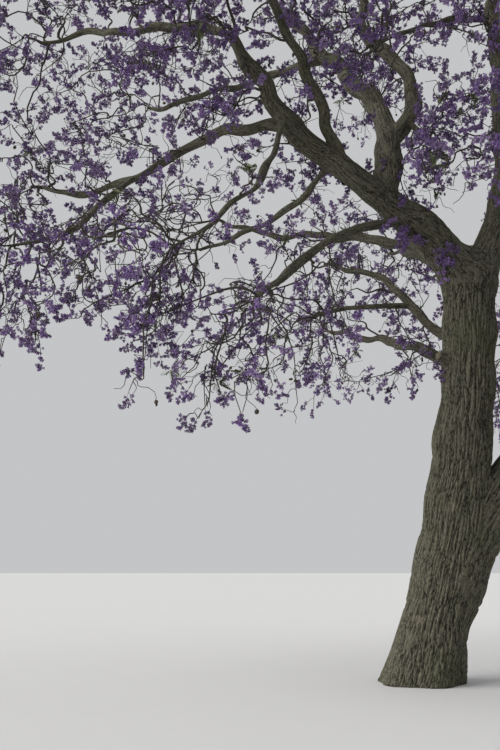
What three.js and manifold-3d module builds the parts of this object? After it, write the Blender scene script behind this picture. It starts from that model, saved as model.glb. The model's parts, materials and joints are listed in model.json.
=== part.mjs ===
// A jacaranda tree in full bloom, about 15 m tall and 17 m across, rooted in the ground.
// Millimetres, +Z up. The origin is in the middle of the flat cut under the trunk.
// The trunk leans towards +X, and the lowest heavy bough leaves it on that side.

import * as THREE from "three";
import { mergeVertices } from "three/addons/utils/BufferGeometryUtils.js";
import Module from "manifold-3d";

const wasm = await Module();
wasm.setup();

// Trunk: from the ground to the main fork
const TRUNK_RISE = 6060;
const TRUNK_LEAN = 1060; // how far the fork stands over to +X
const TRUNK_BOW = 190; // how far the middle bows further that way
const TRUNK_FOOT_RADIUS = 500;
const TRUNK_FORK_RADIUS = 385;
const ROOT_FLARE = 0.22; // share by which the foot widens at the ground
const FLARE_HEIGHT = 420;
const ROOT_LOBES = 5;
const LOBE_DEPTH = 0.09;
const LOBE_HEIGHT = 750;
const TRUNK_SIDES = 18;
const TRUNK_STEPS = 12;
const SHOULDER_START = 0.93; // share of the height where the trunk rounds off between the boughs
const SHOULDER_LOSS = 0.5;

// Boughs: where each leaves its parent, where it goes, how it bends and how thick it is.
// heading is in degrees from +X towards +Y, and reach is the level distance to its tip.
// arch lifts its middle, wave bends it up and then down, sway and curl do the same sideways.
// spread is the radius of the space that the foliage at its tip may fill.
const BOUGHS = {
  left_leader: {
    on: "trunk", at: 1, heading: 208, reach: 4000, rise: 2800,
    arch: 120, wave: 150, sway: -280, curl: 70, thick: 290, thin: 110, spread: 1900,
  },
  right_stem: {
    on: "trunk", at: 1, heading: 15, reach: 800, rise: 5450,
    arch: -430, wave: -120, sway: -20, thick: 250, thin: 130, spread: 2050,
  },
  back: {
    on: "trunk", at: 1, heading: 96, reach: 4150, rise: 2150,
    arch: 170, sway: 70, thick: 190, thin: 60, spread: 1950,
  },
  right_low: {
    on: "trunk", at: 0.15, heading: 357, reach: 5250, rise: 5300,
    arch: 750, wave: -80, sway: 30, curl: 30, thick: 420, thin: 100, spread: 1950,
  },
  side_left: {
    on: "trunk", at: 0.83, heading: 132, reach: 2550, rise: 2000,
    arch: 110, wave: -130, curl: 50, thick: 90, thin: 45, spread: 1800,
  },
  back_low: {
    on: "trunk", at: 0.76, heading: 109, reach: 5000, rise: 2000,
    arch: 160, sway: -20, thick: 110, thin: 45, spread: 1850,
  },
  up_left: {
    on: "left_leader", at: 0.41, heading: 128, reach: 2550, rise: 4900,
    arch: 380, wave: 130, sway: -530, curl: -100, thick: 200, thin: 90, spread: 2000,
  },
  up_middle: {
    on: "up_left", at: 0.2, heading: 163, reach: 350, rise: 2600,
    arch: 380, wave: 240, curl: -30, thick: 125, thin: 85, spread: 2000,
  },
  top_left: {
    on: "left_leader", at: 0.91, heading: 160, reach: 3400, rise: 1700,
    arch: 560, wave: 130, sway: 90, curl: 20, thick: 85, thin: 45, spread: 1900,
  },
  long_left: {
    on: "left_leader", at: 0.78, heading: 153, reach: 4450, rise: -140,
    arch: 120, wave: 220, sway: -180, curl: -20, thick: 100, thin: 45, spread: 1900,
  },
  low_left: {
    on: "long_left", at: 0.65, heading: 215, reach: 1700, rise: -1500,
    arch: -90, wave: 40, sway: 40, curl: -20, thick: 55, thin: 35, spread: 1500,
  },
  hanging_near: {
    on: "left_leader", at: 0.82, heading: 226, reach: 1750, rise: -2400,
    arch: -250, wave: -40, sway: 120, curl: 30, thick: 55, thin: 35, spread: 1500,
  },
  hanging_far: {
    on: "left_leader", at: 0.61, heading: 133, reach: 2550, rise: -600,
    arch: -160, wave: -60, sway: -120, curl: -20, thick: 55, thin: 35, spread: 1800,
  },
  crook: {
    on: "left_leader", at: 0.29, heading: 218, reach: 3050, rise: -1900,
    arch: 220, wave: 50, sway: -180, thick: 75, thin: 40, spread: 1350,
  },
  under_left: {
    on: "side_left", at: 0.44, heading: 180, reach: 1300, rise: -100,
    arch: 70, thick: 50, thin: 35, spread: 1350,
  },
  right_drop: {
    on: "up_middle", at: 0.11, heading: 289, reach: 1100, rise: -1200,
    sway: 100, thick: 45, thin: 35, spread: 1150,
  },
  cross_left: {
    on: "right_stem", at: 0.91, heading: 216, reach: 2700, rise: -1400,
    arch: 200, wave: 70, sway: -90, curl: -50, thick: 55, thin: 35, spread: 1500,
  },
  right_front: {
    on: "right_low", at: 0.43, heading: 305, reach: 3950, rise: 2200,
    arch: 190, sway: -60, thick: 150, thin: 50, spread: 1900,
  },
  right_back: {
    on: "right_low", at: 0.57, heading: 62, reach: 3850, rise: 1800,
    arch: 120, sway: 100, thick: 140, thin: 50, spread: 1900,
  },
  front_low: {
    on: "right_low", at: 0.34, heading: 277, reach: 4600, rise: 2750,
    arch: 270, sway: -30, thick: 120, thin: 45, spread: 1850,
  },
  right_upper: {
    on: "right_stem", at: 0.42, heading: 0, reach: 3150, rise: 1600,
    arch: 70, sway: 20, thick: 120, thin: 50, spread: 2050,
  },
  back_right_upper: {
    on: "right_stem", at: 0.56, heading: 57, reach: 3800, rise: 1400,
    arch: 80, thick: 110, thin: 50, spread: 1950,
  },
  front_right_upper: {
    on: "right_stem", at: 0.65, heading: 296, reach: 3350, rise: 800,
    arch: -50, sway: 80, thick: 100, thin: 50, spread: 1950,
  },
  front: {
    on: "right_stem", at: 0.34, heading: 259, reach: 4450, rise: 1500,
    arch: 350, sway: 90, thick: 110, thin: 50, spread: 1950,
  },
  front_left: {
    on: "left_leader", at: 0.57, heading: 242, reach: 3850, rise: 1600,
    arch: 420, sway: 30, thick: 90, thin: 45, spread: 1850,
  },
  back_left: {
    on: "back", at: 0.3, heading: 142, reach: 4700, rise: 1950,
    arch: 250, wave: 120, sway: -350, thick: 100, thin: 45, spread: 1900,
  },
  back_right_low: {
    on: "back", at: 0.56, heading: 56, reach: 3250, rise: -600,
    arch: 140, sway: -30, thick: 90, thin: 45, spread: 1850,
  },
  back_top: {
    on: "up_left", at: 0.48, heading: 84, reach: 2900, rise: 1750,
    arch: 30, sway: 60, thick: 90, thin: 45, spread: 1950,
  },
  far_left_top: {
    on: "up_left", at: 0.68, heading: 154, reach: 3400, rise: -100,
    arch: -60, sway: 30, thick: 80, thin: 45, spread: 1900,
  },
};
const BOUGH_SIDES = 7;
const BOUGH_STEP = 700; // length of one straight stretch of a bough
const COLLAR_SWELL = 0.3; // share by which a bough thickens where it leaves its parent
const COLLAR_LENGTH = 2.5; // length of that swelling, in start radii

// Foliage masses: each fills part of a ball beyond its bough's tip
const CROWN_HEART = new THREE.Vector3(500, 0, 7000);
const TIP_SHARE = 0.55; // how much a mass follows its bough's end, the rest points out from the heart
const CENTRE_SHARE = 0.85; // distance from a bough's tip to its mass's centre, in radii
const CELL_MARGIN = 15; // each mass stays this far inside its own space
const LIMB_MARGIN = 30; // twigs and sprays stay this far from every limb
const STEM_SHARE = 0.3; // length of a mass's stem, in radii
const STEM_RADIUS = 60;
const STEM_TAPER = 0.8; // how much thinner the stem is at its end
const TWIG_RADIUS = 9;
const TWIG_TAPER = 0.42; // how much thinner a twig is than the stem or twig that carries it
const NECK_LENGTH = 0.8; // how soon a twig has its full thickness, in radii of what carries it
const TWIG_SIDES = 3;
const SPRAY_LENGTH = 1250;
const SPRAY_WIDTH = 1000;
const SPRAY_THICKNESS = 260;
const SPRAY_APART = 520; // least distance from a spray to the middle of another
const TWIG_APART = 330; // least distance from a twig to the middle of a spray
const SPRAY_JITTER = 0.45;
const SPRAY_DROOP = 0.25;
const SPRAYS_PER_AREA = 3.2e-6; // sprays for each square millimetre of a mass's radius squared
const INNER_SHARE = 0.2; // share of a ball's volume, round its centre, where no spray ends
const TWIG_JOINTS = [0.35, 0.55, 0.75]; // how far along a twig the next ones may leave it
const STEM_JOINTS = [0.3, 0.45, 0.6, 0.75, 0.9]; // the same on a mass's stem
const MOST_TRIES = 900;
const RUN_COST = 0.35; // how much a long way back to the stem counts against a joint
const LEAST_ALIGNED = 0.5; // cosine of the sharpest turn that a spray makes against its twig

const JOINT_GAP = 0.4; // clearance where one piece meets another
const BARK = { color: 0x6d6258, roughness: 0.95, metalness: 0 };
const BLOSSOM = { color: 0x8f7cc8, roughness: 0.8, metalness: 0 };

const vector = (x = 0, y = 0, z = 0) => new THREE.Vector3(x, y, z);
const mix = THREE.MathUtils.lerp;
const hump = (t) => 4 * t * (1 - t);
const swing = (t) => Math.sin(2 * Math.PI * t);

// The middle line of the trunk, from the ground to the fork.
class TrunkPath extends THREE.Curve {
  getPoint(t, target = vector()) {
    return target.set(TRUNK_LEAN * t + TRUNK_BOW * hump(t), 0, TRUNK_RISE * t);
  }
}

// The middle line of a bough: a straight run to its tip, bent by its arch, wave, sway and curl.
class BoughPath extends THREE.Curve {
  constructor(start, sizes) {
    super();
    const { heading, reach, rise, arch = 0, wave = 0, sway = 0, curl = 0 } = sizes;
    const turn = THREE.MathUtils.degToRad(heading);
    const climb = Math.atan2(rise, reach);
    this.start = start;
    this.run = vector(reach * Math.cos(turn), reach * Math.sin(turn), rise);
    this.side = vector(-Math.sin(turn), Math.cos(turn), 0);
    this.lift = vector(
      -Math.sin(climb) * Math.cos(turn), -Math.sin(climb) * Math.sin(turn), Math.cos(climb),
    );
    this.bends = { arch, wave, sway, curl };
  }

  getPoint(t, target = vector()) {
    const { arch, wave, sway, curl } = this.bends;
    return target.copy(this.start)
      .addScaledVector(this.run, t)
      .addScaledVector(this.lift, arch * hump(t) + wave * swing(t))
      .addScaledVector(this.side, sway * hump(t) + curl * swing(t));
  }
}

// The same row of numbers from 0 to 1 each time for the same seed.
function seededNumbers(seed) {
  const MULTIPLIER = 1664525;
  const INCREMENT = 1013904223;
  const MODULUS = 4294967296;
  let state = seed;
  return () => {
    state = (state * MULTIPLIER + INCREMENT) % MODULUS;
    return state / MODULUS;
  };
}

function solidOf(geometry) {
  const bare = geometry.clone();
  bare.deleteAttribute("normal");
  bare.deleteAttribute("uv");
  const merged = mergeVertices(bare, 1e-3);
  return new wasm.Manifold(new wasm.Mesh({
    numProp: 3,
    vertProperties: new Float32Array(merged.attributes.position.array),
    triVerts: new Uint32Array(merged.index.array),
  }));
}

// The largest body of a solid, with its sealed hollows filled and loose scraps dropped.
function largestBody(solid) {
  const bodies = solid.decompose();
  return bodies.reduce((best, body) => (body.volume() > best.volume() ? body : best));
}

function meshOf(name, solid, look) {
  const { vertProperties, triVerts } = solid.getMesh();
  const geometry = new THREE.BufferGeometry();
  geometry.setAttribute("position", new THREE.BufferAttribute(new Float32Array(vertProperties), 3));
  geometry.setIndex(new THREE.BufferAttribute(new Uint32Array(triVerts), 1));
  geometry.computeVertexNormals();
  const mesh = new THREE.Mesh(geometry, new THREE.MeshStandardMaterial(look));
  mesh.name = name;
  return mesh;
}

// A closed bar along a curve: every point of a plain cylinder is moved to its place on the curve.
// grown makes the same bar larger all over, for cutting its neighbours clear of it.
function barAlong({ path, side, level, radiusAt, sides, steps }, grown = 0) {
  const bar = new THREE.CylinderGeometry(1, 1, 1, sides, steps);
  const places = bar.attributes.position;
  for (let i = 0; i < places.count; i++) {
    const t = places.getY(i) + 0.5;
    const along = level ? vector(0, 0, 1) : path.getTangent(t);
    const across = side.clone().addScaledVector(along, -side.dot(along)).normalize();
    const over = across.clone().cross(along);
    const radius = radiusAt(t, Math.atan2(places.getZ(i), places.getX(i))) + grown;
    const past = grown * (Number(t === 1) - Number(t === 0));
    const point = path.getPoint(t)
      .addScaledVector(along, past)
      .addScaledVector(across, radius * places.getX(i))
      .addScaledVector(over, radius * places.getZ(i));
    places.setXYZ(i, point.x, point.y, point.z);
  }
  return solidOf(bar);
}

function trunkRadius(t, angle) {
  const height = TRUNK_RISE * t;
  const flare = ROOT_FLARE * Math.exp(-height / FLARE_HEIGHT);
  const lobes = LOBE_DEPTH * Math.exp(-height / LOBE_HEIGHT) * Math.cos(ROOT_LOBES * angle);
  const past = Math.max(0, (t - SHOULDER_START) / (1 - SHOULDER_START));
  const shoulder = 1 - SHOULDER_LOSS * past * past;
  return mix(TRUNK_FOOT_RADIUS, TRUNK_FORK_RADIUS, t) * (1 + flare + lobes) * shoulder;
}

function boughRadius({ thick, thin }, length, t) {
  const collar = COLLAR_SWELL * Math.exp(-t * length / (COLLAR_LENGTH * thick));
  return mix(thick, thin, t) * (1 + collar);
}

function layOutTrunk() {
  return {
    name: "trunk", path: new TrunkPath(), side: vector(1, 0, 0), level: true, radiusAt: trunkRadius,
    length: TRUNK_RISE, sides: TRUNK_SIDES, steps: TRUNK_STEPS,
  };
}

// Every bough with its path and its mass's place, parents before children.
function layOutBoughs(trunk) {
  const paths = { trunk: trunk.path };
  return Object.entries(BOUGHS).map(([name, sizes]) => {
    const path = new BoughPath(paths[sizes.on].getPoint(sizes.at), sizes);
    paths[name] = path;
    const length = path.getLength();
    const tip = path.getPoint(1);
    const out = path.getTangent(1);
    const away = tip.clone().sub(CROWN_HEART).normalize();
    const aim = out.clone().multiplyScalar(TIP_SHARE).addScaledVector(away, 1 - TIP_SHARE).normalize();
    return {
      name, path, length, tip, out, side: path.side, level: false,
      thin: sizes.thin, spread: sizes.spread,
      centre: tip.clone().addScaledVector(aim, CENTRE_SHARE * sizes.spread),
      radiusAt: (t) => boughRadius(sizes, length, t),
      sides: BOUGH_SIDES, steps: Math.max(3, Math.round(length / BOUGH_STEP)),
    };
  });
}

// Each bough is cut back to the trunk and the boughs before it, so that it starts at a surface.
function cutBoughs(trunk, boughs) {
  const cutters = [barAlong(trunk, JOINT_GAP)];
  for (const bough of boughs) {
    const cut = cutters.reduce((solid, cutter) => solid.subtract(cutter), barAlong(bough));
    bough.solid = largestBody(cut);
    cutters.push(barAlong(bough, JOINT_GAP));
  }
}

// Straight stretches of every limb's middle line with their radii, for keeping foliage clear.
function limbStretches(limbs) {
  return limbs.flatMap(({ path, length, radiusAt }) => {
    const count = Math.ceil(length / BOUGH_STEP);
    return Array.from({ length: count }, (_, i) => ({
      line: new THREE.Line3(path.getPoint(i / count), path.getPoint((i + 1) / count)),
      radius: radiusAt(i / count, 0),
    }));
  });
}

function distanceTo(line, point) {
  return line.closestPointToPoint(point, true, vector()).distanceTo(point);
}

// Whether a point with some half width round it lies clear of every limb.
function clearOfLimbs(point, halfWidth, stretches) {
  return stretches.every(({ line, radius }) => (
    distanceTo(line, point) > radius + halfWidth + LIMB_MARGIN
  ));
}

// Whether a point lies in a mass's own space: its ball, and nearer to its centre than to any other.
function insideSpace(point, bough, boughs) {
  if (point.distanceTo(bough.centre) > bough.spread - CELL_MARGIN) return false;
  return boughs.every((other) => {
    if (other === bough) return true;
    const between = other.centre.clone().sub(bough.centre).normalize();
    const middle = bough.centre.clone().lerp(other.centre, 0.5);
    return point.clone().sub(middle).dot(between) < -CELL_MARGIN;
  });
}

function pointsBetween(from, to, count) {
  return Array.from({ length: count + 1 }, (_, i) => from.clone().lerp(to, i / count));
}

// A spray by its root, its tip, its two sides and its core, which is the middle half of its length.
function sprayAt(root, aim, across) {
  const along = (share) => root.clone().addScaledVector(aim, share * SPRAY_LENGTH);
  return {
    root, aim, across, middle: along(0.5), tip: along(1), core: new THREE.Line3(along(0.25), along(0.75)),
    left: along(0.5).addScaledVector(across, SPRAY_WIDTH / 2),
    right: along(0.5).addScaledVector(across, -SPRAY_WIDTH / 2),
  };
}

// Whether a spray keeps to its space, off the limbs and away from the sprays and twigs before it.
function sprayFits(spray, { sprays, twigs }, bough, boughs, stretches) {
  const CHECKS = 6;
  const corners = [spray.root, spray.tip, spray.left, spray.right];
  if (!corners.every((corner) => insideSpace(corner, bough, boughs))) return false;
  const axis = pointsBetween(spray.root, spray.tip, CHECKS);
  const offSprays = sprays.every(({ core }) => (
    axis.every((point) => distanceTo(core, point) > SPRAY_APART)
  ));
  const offTwigs = twigs.every(({ from, to }) => (
    pointsBetween(from, to, CHECKS).every((point) => distanceTo(spray.core, point) > TWIG_APART)
  ));
  return offSprays && offTwigs && axis.every((point, i) => {
    const halfWidth = SPRAY_WIDTH / 2 * (1 - Math.abs(2 * i / CHECKS - 1));
    return clearOfLimbs(point, halfWidth, stretches);
  });
}

function twigFits(from, to, { sprays }, bough, boughs, stretches) {
  const CHECKS = 8;
  return pointsBetween(from, to, CHECKS).every((point) => (
    insideSpace(point, bough, boughs)
    && clearOfLimbs(point, STEM_RADIUS, stretches)
    && sprays.every(({ core }) => distanceTo(core, point) > TWIG_APART)
  ));
}

function randomDirection(random) {
  const height = 2 * random() - 1;
  const turn = 2 * Math.PI * random();
  const level = Math.sqrt(1 - height * height);
  return vector(level * Math.cos(turn), level * Math.sin(turn), height);
}

// The next spray to try: its tip lies anywhere in the ball but near its centre, and it points
// out from the stem and down a little.
function nextSpray(random, bough, stemEnd) {
  const distance = bough.spread * Math.cbrt(mix(INNER_SHARE, 1, random()));
  const tip = bough.centre.clone().addScaledVector(randomDirection(random), distance);
  const aim = tip.clone().sub(stemEnd).normalize()
    .addScaledVector(randomDirection(random), SPRAY_JITTER)
    .add(vector(0, 0, -SPRAY_DROOP))
    .normalize();
  const across = randomDirection(random).cross(aim).normalize();
  return sprayAt(tip.addScaledVector(aim, -SPRAY_LENGTH), aim, across);
}

// The places on a stem or twig where others may leave it. Each then carries one twig.
function jointsAlong(from, to, shares, run, radius) {
  const length = from.distanceTo(to);
  return shares.map((share) => ({
    point: from.clone().lerp(to, share), run: run + share * length, radius,
  }));
}

// The joint that gives a spray's twig the shortest way, of those that the twig can leave forwards.
function bestJoint(joints, spray) {
  const forward = joints.filter(({ point }) => (
    spray.root.clone().sub(point).normalize().dot(spray.aim) > LEAST_ALIGNED
  ));
  const way = ({ point, run }) => point.distanceTo(spray.root) + RUN_COST * run;
  return forward.reduce((best, next) => (best && way(best) <= way(next) ? best : next), null);
}

// The stem of one mass and the twigs that branch from it, each with a spray at its end.
function growMass(bough, boughs, stretches, seed) {
  const random = seededNumbers(seed);
  const start = bough.tip.clone().addScaledVector(bough.out, JOINT_GAP);
  const stemEnd = start.clone().addScaledVector(bough.out, STEM_SHARE * bough.spread);
  const stemRadius = Math.min(STEM_RADIUS, bough.thin);
  const twigs = [{ from: start, to: stemEnd, thick: stemRadius }];
  const joints = jointsAlong(start, stemEnd, STEM_JOINTS, 0, stemRadius);
  const sprays = [];
  const grown = { twigs, sprays };
  const wanted = Math.round(SPRAYS_PER_AREA * bough.spread ** 2);
  for (let tried = 0; tried < MOST_TRIES && sprays.length < wanted; tried++) {
    const spray = nextSpray(random, bough, stemEnd);
    const joint = bestJoint(joints, spray);
    if (!joint || !sprayFits(spray, grown, bough, boughs, stretches)) continue;
    if (!twigFits(joint.point, spray.root, grown, bough, boughs, stretches)) continue;
    const thick = Math.max(TWIG_RADIUS, TWIG_TAPER * joint.radius);
    joints.splice(joints.indexOf(joint), 1);
    joints.push(...jointsAlong(joint.point, spray.root, TWIG_JOINTS, joint.run, thick));
    const neck = NECK_LENGTH * joint.radius;
    twigs.push({ from: joint.point, to: spray.root, thick, neck, spray });
    sprays.push(spray);
  }
  return grown;
}

// A mass's stem, which the first twigs leave.
function stemSolid({ from, to, thick }) {
  const aim = to.clone().sub(from).normalize();
  const length = to.distanceTo(from);
  const bar = new THREE.CylinderGeometry(STEM_TAPER * thick, thick, length, TWIG_SIDES, 1);
  bar.translate(0, length / 2, 0);
  bar.applyQuaternion(new THREE.Quaternion().setFromUnitVectors(vector(0, 1, 0), aim));
  bar.translate(from.x, from.y, from.z);
  return solidOf(bar);
}

// A twig that widens into its flat spray. A three-sided ball has its points moved to the spray's
// tip and to the middle of what carries the twig, and its rings to the three places between.
function twigSolid({ from, to, thick, neck, spray }) {
  const STEPS = 4;
  const twigAim = to.clone().sub(from).normalize();
  const rootAim = twigAim.clone().add(spray.aim).normalize();
  const fullest = Math.sin(2 * Math.PI / TWIG_SIDES);
  const deepest = 1 + Math.cos(Math.PI / TWIG_SIDES);
  const rings = [
    { at: spray.tip, aim: spray.aim, wide: 0, deep: 0 },
    {
      at: spray.middle, aim: spray.aim,
      wide: SPRAY_WIDTH / 2 / fullest, deep: SPRAY_THICKNESS / deepest,
    },
    { at: spray.root, aim: rootAim, wide: TWIG_RADIUS, deep: TWIG_RADIUS },
    { at: from.clone().addScaledVector(twigAim, neck), aim: twigAim, wide: thick, deep: thick },
    { at: from, aim: twigAim, wide: 0, deep: 0 },
  ];
  const shoot = new THREE.SphereGeometry(1, TWIG_SIDES, STEPS);
  const places = shoot.attributes.position;
  for (let i = 0; i < places.count; i++) {
    const fromTop = Math.acos(THREE.MathUtils.clamp(places.getY(i), -1, 1));
    const { at, aim, wide, deep } = rings[Math.round(fromTop / Math.PI * STEPS)];
    const across = spray.across.clone().addScaledVector(aim, -spray.across.dot(aim)).normalize();
    const over = aim.clone().cross(across);
    const radius = Math.sin(fromTop) || 1;
    const point = at.clone()
      .addScaledVector(over, deep * places.getX(i) / radius)
      .addScaledVector(across, wide * places.getZ(i) / radius);
    places.setXYZ(i, point.x, point.y, point.z);
  }
  return solidOf(shoot);
}

function massSolid({ twigs }) {
  const [stem, ...shoots] = twigs;
  return largestBody(shoots.reduce((whole, shoot) => whole.add(twigSolid(shoot)), stemSolid(stem)));
}

function makeTree() {
  const FIRST_SEED = 101;
  const SEED_STEP = 37;
  const tree = new THREE.Group();
  tree.name = "jacaranda_tree";
  const trunk = layOutTrunk();
  const boughs = layOutBoughs(trunk);
  cutBoughs(trunk, boughs);
  const stretches = limbStretches([trunk, ...boughs]);
  tree.add(meshOf("trunk", barAlong(trunk), BARK));
  boughs.forEach((bough, i) => {
    const mass = growMass(bough, boughs, stretches, FIRST_SEED + SEED_STEP * i);
    tree.add(meshOf("bough_" + bough.name, bough.solid, BARK));
    tree.add(meshOf("foliage_" + bough.name, massSolid(mass), BLOSSOM));
  });
  return tree;
}

export default makeTree();
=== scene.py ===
"""A jacaranda tree in full bloom: bark, twigs, blossom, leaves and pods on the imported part.

Metres, +Z up, in the part's own frame. The limbs and the first twigs follow the same named sizes
and the same growth rule as the part's solids, and the rule is then carried on to finer twigs.
"""

import functools
import json
import math

import bmesh
import bpy
import numpy as np
from bpy.props import FloatProperty, FloatVectorProperty, IntProperty, PointerProperty
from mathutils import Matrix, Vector, noise

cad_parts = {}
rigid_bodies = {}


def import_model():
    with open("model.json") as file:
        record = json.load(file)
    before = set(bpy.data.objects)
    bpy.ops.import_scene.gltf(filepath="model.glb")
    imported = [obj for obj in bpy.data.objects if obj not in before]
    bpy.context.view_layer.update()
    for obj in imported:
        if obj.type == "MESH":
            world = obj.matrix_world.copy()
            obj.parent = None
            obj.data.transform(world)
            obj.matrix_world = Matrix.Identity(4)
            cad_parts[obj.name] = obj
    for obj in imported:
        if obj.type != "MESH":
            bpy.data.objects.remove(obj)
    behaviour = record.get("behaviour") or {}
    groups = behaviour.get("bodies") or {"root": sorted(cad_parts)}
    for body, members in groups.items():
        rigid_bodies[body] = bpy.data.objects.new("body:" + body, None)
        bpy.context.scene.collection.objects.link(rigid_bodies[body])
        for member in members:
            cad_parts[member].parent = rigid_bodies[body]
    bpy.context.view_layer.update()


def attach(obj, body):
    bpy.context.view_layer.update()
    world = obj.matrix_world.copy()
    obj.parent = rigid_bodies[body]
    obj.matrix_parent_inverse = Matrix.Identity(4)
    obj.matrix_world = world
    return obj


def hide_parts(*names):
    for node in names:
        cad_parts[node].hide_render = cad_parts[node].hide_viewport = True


bl_info = {
    "name": "Jacaranda tree in bloom",
    "version": (1, 0, 0),
    "blender": (4, 5, 0),
    "location": "3D View > Sidebar > Jacaranda",
    "description": "Dresses the packed jacaranda tree with bark, twigs, blossom, leaves and pods",
    "category": "Add Mesh",
}

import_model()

# Trunk: from the ground to the main fork
TRUNK_RISE = 6.06
TRUNK_LEAN = 1.06
TRUNK_BOW = 0.19
TRUNK_FOOT_RADIUS = 0.5
TRUNK_FORK_RADIUS = 0.385
ROOT_FLARE = 0.22
FLARE_HEIGHT = 0.42
ROOT_LOBES = 5
LOBE_DEPTH = 0.09
LOBE_HEIGHT = 0.75
MAIN_FORK = np.array([TRUNK_LEAN, 0, TRUNK_RISE])

# Boughs: what each leaves and how far along it, its heading in degrees, the level reach and the
# rise to its tip, its arch, wave, sway and curl, its thickness at both ends, and the radius of the
# space that the foliage at its tip may fill.
BOUGH_SIZES = (
    "on", "at", "heading", "reach", "rise", "arch", "wave", "sway", "curl", "thick", "thin", "spread",
)
BOUGHS = {
    "left_leader": ("trunk", 1, 208, 4, 2.8, 0.12, 0.15, -0.28, 0.07, 0.29, 0.11, 1.9),
    "right_stem": ("trunk", 1, 15, 0.8, 5.45, -0.43, -0.12, -0.02, 0, 0.25, 0.13, 2.05),
    "back": ("trunk", 1, 96, 4.15, 2.15, 0.17, 0, 0.07, 0, 0.19, 0.06, 1.95),
    "right_low": ("trunk", 0.15, 357, 5.25, 5.3, 0.75, -0.08, 0.03, 0.03, 0.42, 0.1, 1.95),
    "side_left": ("trunk", 0.83, 132, 2.55, 2, 0.11, -0.13, 0, 0.05, 0.09, 0.045, 1.8),
    "back_low": ("trunk", 0.76, 109, 5, 2, 0.16, 0, -0.02, 0, 0.11, 0.045, 1.85),
    "up_left": ("left_leader", 0.41, 128, 2.55, 4.9, 0.38, 0.13, -0.53, -0.1, 0.2, 0.09, 2),
    "up_middle": ("up_left", 0.2, 163, 0.35, 2.6, 0.38, 0.24, 0, -0.03, 0.125, 0.085, 2),
    "top_left": ("left_leader", 0.91, 160, 3.4, 1.7, 0.56, 0.13, 0.09, 0.02, 0.085, 0.045, 1.9),
    "long_left": ("left_leader", 0.78, 153, 4.45, -0.14, 0.12, 0.22, -0.18, -0.02, 0.1, 0.045, 1.9),
    "low_left": ("long_left", 0.65, 215, 1.7, -1.5, -0.09, 0.04, 0.04, -0.02, 0.055, 0.035, 1.5),
    "hanging_near": ("left_leader", 0.82, 226, 1.75, -2.4, -0.25, -0.04, 0.12, 0.03, 0.055, 0.035, 1.5),
    "hanging_far": ("left_leader", 0.61, 133, 2.55, -0.6, -0.16, -0.06, -0.12, -0.02, 0.055, 0.035, 1.8),
    "crook": ("left_leader", 0.29, 218, 3.05, -1.9, 0.22, 0.05, -0.18, 0, 0.075, 0.04, 1.35),
    "under_left": ("side_left", 0.44, 180, 1.3, -0.1, 0.07, 0, 0, 0, 0.05, 0.035, 1.35),
    "right_drop": ("up_middle", 0.11, 289, 1.1, -1.2, 0, 0, 0.1, 0, 0.045, 0.035, 1.15),
    "cross_left": ("right_stem", 0.91, 216, 2.7, -1.4, 0.2, 0.07, -0.09, -0.05, 0.055, 0.035, 1.5),
    "right_front": ("right_low", 0.43, 305, 3.95, 2.2, 0.19, 0, -0.06, 0, 0.15, 0.05, 1.9),
    "right_back": ("right_low", 0.57, 62, 3.85, 1.8, 0.12, 0, 0.1, 0, 0.14, 0.05, 1.9),
    "front_low": ("right_low", 0.34, 277, 4.6, 2.75, 0.27, 0, -0.03, 0, 0.12, 0.045, 1.85),
    "right_upper": ("right_stem", 0.42, 0, 3.15, 1.6, 0.07, 0, 0.02, 0, 0.12, 0.05, 2.05),
    "back_right_upper": ("right_stem", 0.56, 57, 3.8, 1.4, 0.08, 0, 0, 0, 0.11, 0.05, 1.95),
    "front_right_upper": ("right_stem", 0.65, 296, 3.35, 0.8, -0.05, 0, 0.08, 0, 0.1, 0.05, 1.95),
    "front": ("right_stem", 0.34, 259, 4.45, 1.5, 0.35, 0, 0.09, 0, 0.11, 0.05, 1.95),
    "front_left": ("left_leader", 0.57, 242, 3.85, 1.6, 0.42, 0, 0.03, 0, 0.09, 0.045, 1.85),
    "back_left": ("back", 0.3, 142, 4.7, 1.95, 0.25, 0.12, -0.35, 0, 0.1, 0.045, 1.9),
    "back_right_low": ("back", 0.56, 56, 3.25, -0.6, 0.14, 0, -0.03, 0, 0.09, 0.045, 1.85),
    "back_top": ("up_left", 0.48, 84, 2.9, 1.75, 0.03, 0, 0.06, 0, 0.09, 0.045, 1.95),
    "far_left_top": ("up_left", 0.68, 154, 3.4, -0.1, -0.06, 0, 0.03, 0, 0.08, 0.045, 1.9),
}
BOUGH_STEP = 0.7
COLLAR_SWELL = 0.3
COLLAR_LENGTH = 2.5

# Foliage masses and the rule by which their twigs and sprays grow
CROWN_HEART = np.array([0.5, 0, 7])
TIP_SHARE = 0.55
CENTRE_SHARE = 0.85
CELL_MARGIN = 0.015
LIMB_MARGIN = 0.03
STEM_SHARE = 0.3
STEM_RADIUS = 0.06
TWIG_RADIUS = 0.009
TWIG_TAPER = 0.42
SPRAY_LENGTH = 1.25
SPRAY_WIDTH = 1.0
SPRAY_APART = 0.52
TWIG_APART = 0.33
SPRAY_JITTER = 0.45
SPRAY_DROOP = 0.25
SPRAYS_PER_AREA = 3.2
INNER_SHARE = 0.2
TWIG_JOINTS = (0.35, 0.55, 0.75)
STEM_JOINTS = (0.3, 0.45, 0.6, 0.75, 0.9)
MOST_TRIES = 900
RUN_COST = 0.35
LEAST_ALIGNED = 0.5
JOINT_GAP = 0.0004
FIRST_SEED = 101
SEED_STEP = 37

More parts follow.
